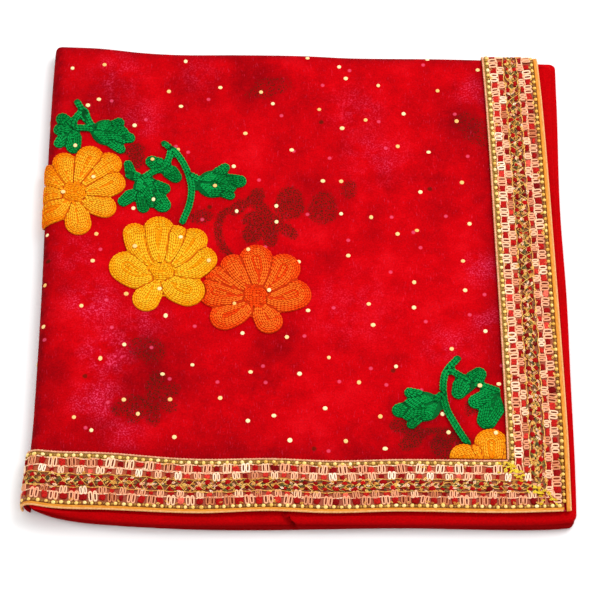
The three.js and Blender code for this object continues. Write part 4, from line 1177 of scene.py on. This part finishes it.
# %% Sew the corner seam
SEAM_STITCHES = [(6.0, 2.8, 34), (19.0, 2.4, 20), (26.0, 1.0, 5)]  # across, spread and number
spots = np.concatenate([rng.normal(s, spread, count) for s, spread, count in SEAM_STITCHES])
SEAM_ENDS, SEAM_BACK, SEAM_SPREAD = (1.0, 27.5), 1.0, 3.4  # ends, and how far stitches stray back
spots = np.clip(spots, *SEAM_ENDS)
along = RIGHT - LACE_WIDTH + spots - SEAM_BACK - np.abs(rng.normal(0, SEAM_SPREAD, len(spots)))
corner_seam = lay("front", tangle, spots, along, GROUND_LIFT + 1.0, yellow_zari, 0.5, 0.5, 0.15,
                  0.9)
corner_seam.name = "lace_seam_stitches"
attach(corner_seam, "root")

for template in TEMPLATES:
    bpy.data.objects.remove(template)
print("seam stitches:", len(spots))

# %% [markdown]
# ### Edge bands
# A flat band of orange-gold satin runs along each ribbon's outer edge, with a pale twisted cord
# beside it. Satin's long floats run along the band, so the eye sees fine streaks of light that way,
# and its noise is stretched along the band's own UV map. The band is a strip as the ground is.

# %% Material of the bands
FLOAT_MM = (0.35, 4)  # width and length of satin's floats
satin, tree, shader = new_material("satin band, orange gold", 0.45, Specular_IOR_Level=0.15)
band_uv = add_node(tree, UV_MAP, out="UV", uv_map="UVMap")
stretched = add_node(tree, MAPPING, {"Vector": band_uv,
                                     "Scale": (1 / (FLOAT_MM[0] * MM), 1 / (FLOAT_MM[1] * MM), 1)})
floats = add_node(tree, NOISE, {"Vector": stretched, "Scale": 1.0, "Detail": 2.0,
                                "Roughness": 0.6})
gold = add_node(tree, RAMP, [floats], stops=[(0.3, "#C06C14"), (0.5, "#D48420"),
                                             (0.7, "#E6A040")])
surface(tree, shader, gold, floats, 0.08, 0.5)
# The cord is rayon, twisted hard: matt, with a pale pink light on its ridges.
pale_cord = tinted("twisted cord, pale gold", [(0, "#D4904C"), (1, "#EAB47C")], 0.4)
print("floats drawn", FLOAT_MM, "mm")

# %% Model the bands and their cords
# The band's section: places across the ribbon, and how far its crown stands off the net there.
BAND_ACROSS = np.array([29.1, 29.2, 29.5, 29.9, 30.3, 30.7, 30.9])
BAND_LIFTS = SEAM + np.array([0.95, 1.1, 1.3, 1.36, 1.33, 1.25, 1.15])
CORD_ACROSS, CORD_RADIUS, CORD_STEP = 31.15, 0.5, 0.75  # a cord's place, radius and twist

for side, (place, _, _, span) in RIBBONS.items():
    band = ribbon_strip(f"satin_band_{side}", place, BAND_ACROSS, BAND_LIFTS, span,
                        BAND_WALL)
    band.data.materials.append(satin)
    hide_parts(f"edge_band_{side}")
    along = spaced(span[0] + 0.5, span[1] - 0.5, int((span[1] - span[0]) / CORD_STEP))
    line = place(np.full_like(along, CORD_ACROSS), along, SEAM + 0.95)[0]
    cord = threads(f"edge_cord_{side}", [line], CORD_RADIUS * MM, ripple=0.12, sides=2)
    add_attribute(cord, "tint", rng.random(len(cord.data.vertices)))
    cord.data.materials.append(pale_cord)
    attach(cord, "root")
    print(side, "band and cord, mm:", round(span[1] - span[0]))

# %% [markdown]
# ## Chain-stitch flowers and leaves
# The flowers are filled with aari work: chain stitches in rows, from the outline inwards, so every
# petal shows U-shaped rows one inside the other. Each motif gets a thin bed of thread, which gives
# its outline and its swell, and thousands of small links are copied along the rows on it. The bed
# could be cut out with a knife in edit mode. Here a grid is laid over the motif, its points near the
# outline slide onto it, and the faces outside are deleted.

# %% Outline and swell of a motif
EYE_FIRST, STEM_FIRST = 3.0, 1.2  # how far the eye, or the stems, go before the petals or lobes
PILE_LOW, PILE_SWELL, PILE_RUN = 0.35, 0.85, 1.2  # thread at the rim, its swell, and over how much
GAP_HALF = {"flower": 0.5, "sprig_": 0.25}  # half the gap that petals, or lobes, leave open
# Motifs that end where another one lies over them.
CLEAR_OF = {"flower_orange": "flower_yellow", "sprig_left": "flower_left",
            "sprig_middle": "flower_yellow", "sprig_right": "flower_corner"}


def gaps_of(name, a, b):
    """Gap to every stroke of a motif; the flower's eye and the stems lie over the rest."""
    gaps = np.stack([inside(stroke, a, b) for stroke in MOTIFS[name]])
    if name.startswith("flower"):
        gaps[-1] -= EYE_FIRST * (gaps[-1] < 0)
    else:
        stems = len(SPRIGS[name][0])
        gaps[:stems] -= STEM_FIRST * (gaps[:stems] < 0)
    return gaps


def outside(name, a, b):
    """How far points lie outside what shows of a motif."""
    gap = gaps_of(name, a, b).min(0)
    if name in CLEAR_OF:
        other = np.stack([inside(stroke, a, b) for stroke in MOTIFS[CLEAR_OF[name]]]).min(0)
        gap = np.maximum(gap, SEAM - other)
    limits = [a - (RIGHT - LACE_WIDTH - SEAM), FRONT_LACE_BACK + SEAM - b, LEFT_ROLL - TRIM_RUN - a]
    return np.maximum(gap, np.maximum.reduce(limits))


def pile(name, a, b):
    """Lift of the thread's surface: every stroke swells between its own grooves."""
    gaps = np.sort(gaps_of(name, a, b), axis=0)
    depth = np.minimum(-outside(name, a, b), (gaps[1] - gaps[0]) / 2)
    return SEAM + PILE_LOW + PILE_SWELL * (1 - np.exp(-np.maximum(depth, 0) / PILE_RUN))


# %% Shade of the thread
def shade_of(name, a, b):
    """0 at a flower's heart to 1 at its rim; leaves vary from lobe to lobe."""
    if name in FLOWERS:
        ca, cb, radius, _ = FLOWERS[name]
        away = np.hypot(a - ca, b - cb) / radius
        rim = np.clip(1 + outside(name, a, b) / 4.5, 0, 1)
        shade = 0.55 * np.clip(away - 0.15, 0, 1) + 0.4 * rim
        if name == "flower_left":  # deeper where it turns over the fold
            shade += 0.45 * np.clip((ca - 2 - a) / 12, 0, 1)
        return np.where(away < FLOWER_EYE, 0.5 if name == "flower_yellow" else 0.7, shade)
    return 0.5 + 0.3 * np.sin(a / 5.0) * np.cos(b / 6.0)


def groove(name, a, b):
    """How deep between two petals points lie: 0 in the gap, 1 away from it."""
    gaps = np.sort(gaps_of(name, a, b), axis=0)
    return np.clip((gaps[1] - gaps[0]) / 2 / GAP_HALF[name[:6]] - 0.3, 0, 1)


# %% Beds of thread
BED_CELL = 0.8
BED_SINK, BED_WALL = 0.3, 0.25  # the bed lies this much under the stitches
FIT_STEPS, SLOPE_STEP = 3, 0.05  # slides that bring points near the outline onto it


def thread_bed(name):
    """The thin bed of one motif, cut along its outline."""
    every = np.concatenate(MOTIFS[name])
    low = (every[:, :2] - every[:, 2:]).min(0) - 1
    high = (every[:, :2] + every[:, 2:]).max(0) + 1
    low = np.maximum(low, [LEFT_ROLL - TRIM_RUN, FRONT_LACE_BACK])
    high = np.minimum(high, [RIGHT - LACE_WIDTH, BACK])
    cells = np.ceil((high - low) / BED_CELL).astype(int)
    obj, a, b = cloth_grid(f"thread_{name}", spaced(low[0], high[0], cells[0]),
                           spaced(low[1], high[1], cells[1]),
                           lambda a, b: np.stack([a, b, 0 * a], -1))
    for _ in range(FIT_STEPS):
        gap = outside(name, a, b)
        slope = np.stack([outside(name, a + SLOPE_STEP, b) - gap,
                          outside(name, a, b + SLOPE_STEP) - gap]) / SLOPE_STEP
        near = np.abs(gap) < BED_CELL * 0.8
        a, b = a - near * gap * slope[0], b - near * gap * slope[1]
    out = outside(name, a, b) > 0.12
    corner = np.empty(len(obj.data.loops), int)
    obj.data.loops.foreach_get("vertex_index", corner)
    face_out = out[corner].reshape(-1, 4).any(1)
    set_coordinates(obj, on_net(a, b, pile(name, a, b) - BED_SINK)[0])
    # The bed's tint is low in the gaps between petals or lobes, where its painted shade is darkest.
    add_attribute(obj, "tint", groove(name, a, b))
    obj.data.polygons.foreach_set("select", face_out)
    only(obj)
    bpy.ops.object.mode_set(mode="EDIT")
    bpy.ops.mesh.delete(type="FACE")
    bpy.ops.object.mode_set(mode="OBJECT")
    modify(obj, "SOLIDIFY", thickness=BED_WALL * MM, offset=-1)
    smooth(obj)
    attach(obj, "root")
    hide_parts(name)
    return obj


bpy.context.scene.tool_settings.mesh_select_mode = (False, False, True)  # faces
beds = {name: thread_bed(name) for name in MOTIFS}
print("faces of the beds:", {name: len(obj.data.polygons) for name, obj in beds.items()})

# %% [markdown]
# ### Rows of chain stitches
# A chain stitch is a small loop that holds the next one. Rows follow each petal's outline, inset by
# one row's width at a time, and are painted light and dark in turns, as painted sheen: rows worked
# up and down catch the light differently. A stitch is left out where another petal or the gap
# between two is nearer.

# %% Lines of stitches
STITCH_PITCH, STITCH_LONG = 1.1, 1.9  # from row to row, and of one stitch
ROW_SHEEN = 0.5  # how much lighter and darker rows are painted, as painted sheen
RIM_KEPT = 0.45  # no stitch's middle comes nearer to the outline than this


def inset_line(stroke, inset, closed):
    """The stroke's outline moved inwards: one side, the tip and the other side."""
    spine, wide = stroke[:, :2], stroke[:, 2] - inset
    ahead = np.gradient(spine, axis=0)
    ahead /= np.linalg.norm(ahead, axis=1, keepdims=True)
    side = np.stack([-ahead[:, 1], ahead[:, 0]], -1)
    keep = np.flatnonzero(wide > 0.12)
    if not len(keep):
        return None
    last, first = keep[-1], keep[0]
    turn = math.atan2(ahead[last, 1], ahead[last, 0])
    arc = turn + np.radians(np.linspace(-75, 75, 9))
    tip = spine[last] + wide[last] * np.stack([np.cos(arc), np.sin(arc)], -1)
    parts = [(spine - side * wide[:, None])[keep], tip, (spine + side * wide[:, None])[keep][::-1]]
    if closed:
        parts.append(spine[first] - wide[first] * np.stack([np.cos(arc), np.sin(arc)], -1))
        parts.append(parts[0][:1])
    return np.concatenate(parts)


def stitches_on(line):
    """Middles and directions of even stitches along a line."""
    step = np.diff(line, axis=0)
    length = np.r_[0, np.cumsum(np.linalg.norm(step, axis=1))]
    count = max(1, round(length[-1] / STITCH_LONG))
    at = (np.arange(count) + rng.uniform(0.35, 0.65)) * length[-1] / count
    point = np.stack([np.interp(at, length, line[:, axis]) for axis in (0, 1)], -1)
    ahead, behind = (np.stack([np.interp(at + way, length, line[:, axis]) for axis in (0, 1)], -1)
                     for way in (0.4, -0.4))
    return point, ahead - behind


def stitches(name):
    """Middles, directions and tones of a motif's stitches; rows are painted light and dark in turns,
    as painted sheen.
    """
    spots, directions, tones = [], [], []
    strokes = MOTIFS[name]
    for k, stroke in enumerate(strokes):
        closed = name.startswith("flower") and k == len(strokes) - 1
        inset = STITCH_PITCH * 0.5
        while inset < stroke[:, 2].max():
            line = inset_line(stroke, inset, closed)
            inset += STITCH_PITCH
            if line is None:
                continue
            point, ahead = stitches_on(line)
            gaps = gaps_of(name, point[:, 0], point[:, 1])
            own = gaps[k] <= np.delete(gaps, k, 0).min(0) - 2 * GAP_HALF[name[:6]]
            shows = own & (outside(name, point[:, 0], point[:, 1]) < -RIM_KEPT)
            row = round(inset / STITCH_PITCH) % 2
            spots.append(point[shows])
            directions.append(ahead[shows])
            tones.append(np.full(shows.sum(), ROW_SHEEN * (row - 0.5)))
    return np.concatenate(spots), np.concatenate(directions), np.concatenate(tones)


# %% [markdown]
# ### Silk threads
# Embroidery thread is filament silk or rayon. Its fibres are smooth, so the eye sees a rich colour
# with a soft sheen and no point of light. Each flower's thread runs from light at the heart to deep
# at the rim, and leaves vary from lobe to lobe. The bed has the same thread painted darker, as
# painted shade, so dark shows between stitches. The gaps between petals are dark red, the net's own
# red with painted shade, and those between lobes deep green, painted shade.

# %% Threads and their shades
THREADS = {
    "flower_left": [(0, "#FFC42C"), (0.5, "#FF9E08"), (1, "#F66C00")],
    "flower_yellow": [(0, "#FFCE2C"), (0.5, "#FFAC08"), (1, "#F88200")],
    "flower_orange": [(0, "#FF7E22"), (0.45, "#FC500E"), (1, "#EA2E00")],
    "flower_corner": [(0, "#FFBC2C"), (0.5, "#FF9C06"), (1, "#F47000")],
    "leaf": [(0, "#0CAA50"), (0.5, "#048A3A"), (1, "#026424")],
}
# The bed's thread, painted darker as shade between the stitches, and the gaps between petals and
# lobes: dark red, the net's own red with painted shade, or deep green, painted shade.
BED_SHADE = {"flower_left": "#E07A06", "flower_yellow": "#E28E06", "flower_orange": "#CC3406",
         "flower_corner": "#E48408", "leaf": "#025C26"}
GAP_RED, GAP_GREEN = "#A83004", "#014018"
silks = {key: tinted(f"silk thread, {key}", stops, 0.5, grain_mm=0.4)
         for key, stops in THREADS.items()}
bed_shades = {key: tinted(f"silk thread, painted shade, {key}",
                      [(0.1, GAP_GREEN if key == "leaf" else GAP_RED), (0.6, shade)], 0.6)
          for key, shade in BED_SHADE.items()}
print("silks:", sorted(silks))

# %% Work the stitches
link = thread_ring(1.1, 2.2, 0.24, segments=8, sides=4)
total = 0
for name in MOTIFS:
    key = name if name in THREADS else "leaf"
    spots, directions, tones = stitches(name)
    a, b = spots.T
    size = MM * (1 + rng.normal(0, 0.06, (len(a), 3)))
    places, frames = frames_along(on_net, a, b, directions[:, 0], directions[:, 1],
                                  pile(name, a, b), size)
    tint = np.clip(shade_of(name, a, b) + tones + rng.normal(0, 0.12, len(a)), 0, 1)
    worked = copies(f"stitches_{name}", link, places, frames, tint)
    worked.data.materials.append(silks[key])
    beds[name].data.materials.append(bed_shades[key])
    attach(worked, "root")
    total += len(a)
bpy.data.objects.remove(link)
print("chain stitches:", total)

# %% [markdown]
# ## Foil dots
# Small round dots of gold foil are pressed on the net with heat, in staggered rows about 25 mm
# apart. They have almost no thickness; each is a flattened ball, half sunk. Foil on cloth takes the
# net's roughness, so it looks pale and satin, not like a mirror. Where a flower was stitched over a
# dot's place, the dot sits on the thread.

# %% Place the dots
DOT_PITCH, DOT_SHIFT = 24.5, 9  # from dot to dot, and how far each may stray from its place
DOT_ROWS, DOT_TURN = 9, 24  # rows to each side of the middle, and their angle to the cloth's edges
DOT_SIZE, DOT_HIGH, DOT_LIFT = 2.4, 0.5, 0.12
grid_i, grid_j = np.meshgrid(*[np.arange(-DOT_ROWS, DOT_ROWS + 1)] * 2)
turn = math.radians(DOT_TURN)
a = (grid_i * math.cos(turn) - grid_j * math.sin(turn)).ravel() * DOT_PITCH
b = (grid_i * math.sin(turn) + grid_j * math.cos(turn)).ravel() * DOT_PITCH
a, b = (line + rng.uniform(-DOT_SHIFT, DOT_SHIFT, len(line)) for line in (a, b))
keep = (a > LEFT - 4) & (a < RIGHT - LACE_WIDTH - 2) & (b > FRONT_LACE_BACK + 2) & (b < BACK + 2)
a, b = a[keep], b[keep]
lift = np.full(len(a), DOT_LIFT)
for name in MOTIFS:
    on_it = outside(name, a, b) < -0.3
    lift = np.where(on_it, pile(name, a, b) + 0.35, lift)
print("dots:", len(a))

# %% Press the dots
dot = ball((DOT_SIZE, DOT_SIZE, DOT_HIGH), 10, 6)
size = MM * rng.normal(1, 0.07, (len(a), 3))
places, frames = frames_along(on_net, a, b, np.ones(len(a)), np.zeros(len(a)), lift, size)
dots = copies("foil_dots", dot, places, frames)
bpy.data.objects.remove(dot)
dots.data.materials.append(tinted("pressed gold foil, pale", [(0, "#F8B868"), (0.5, "#FFD898"),
                                                              (1, "#FFE8B4")], 0.4))
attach(dots, "root")
print("faces of the dots:", len(dots.data.polygons))
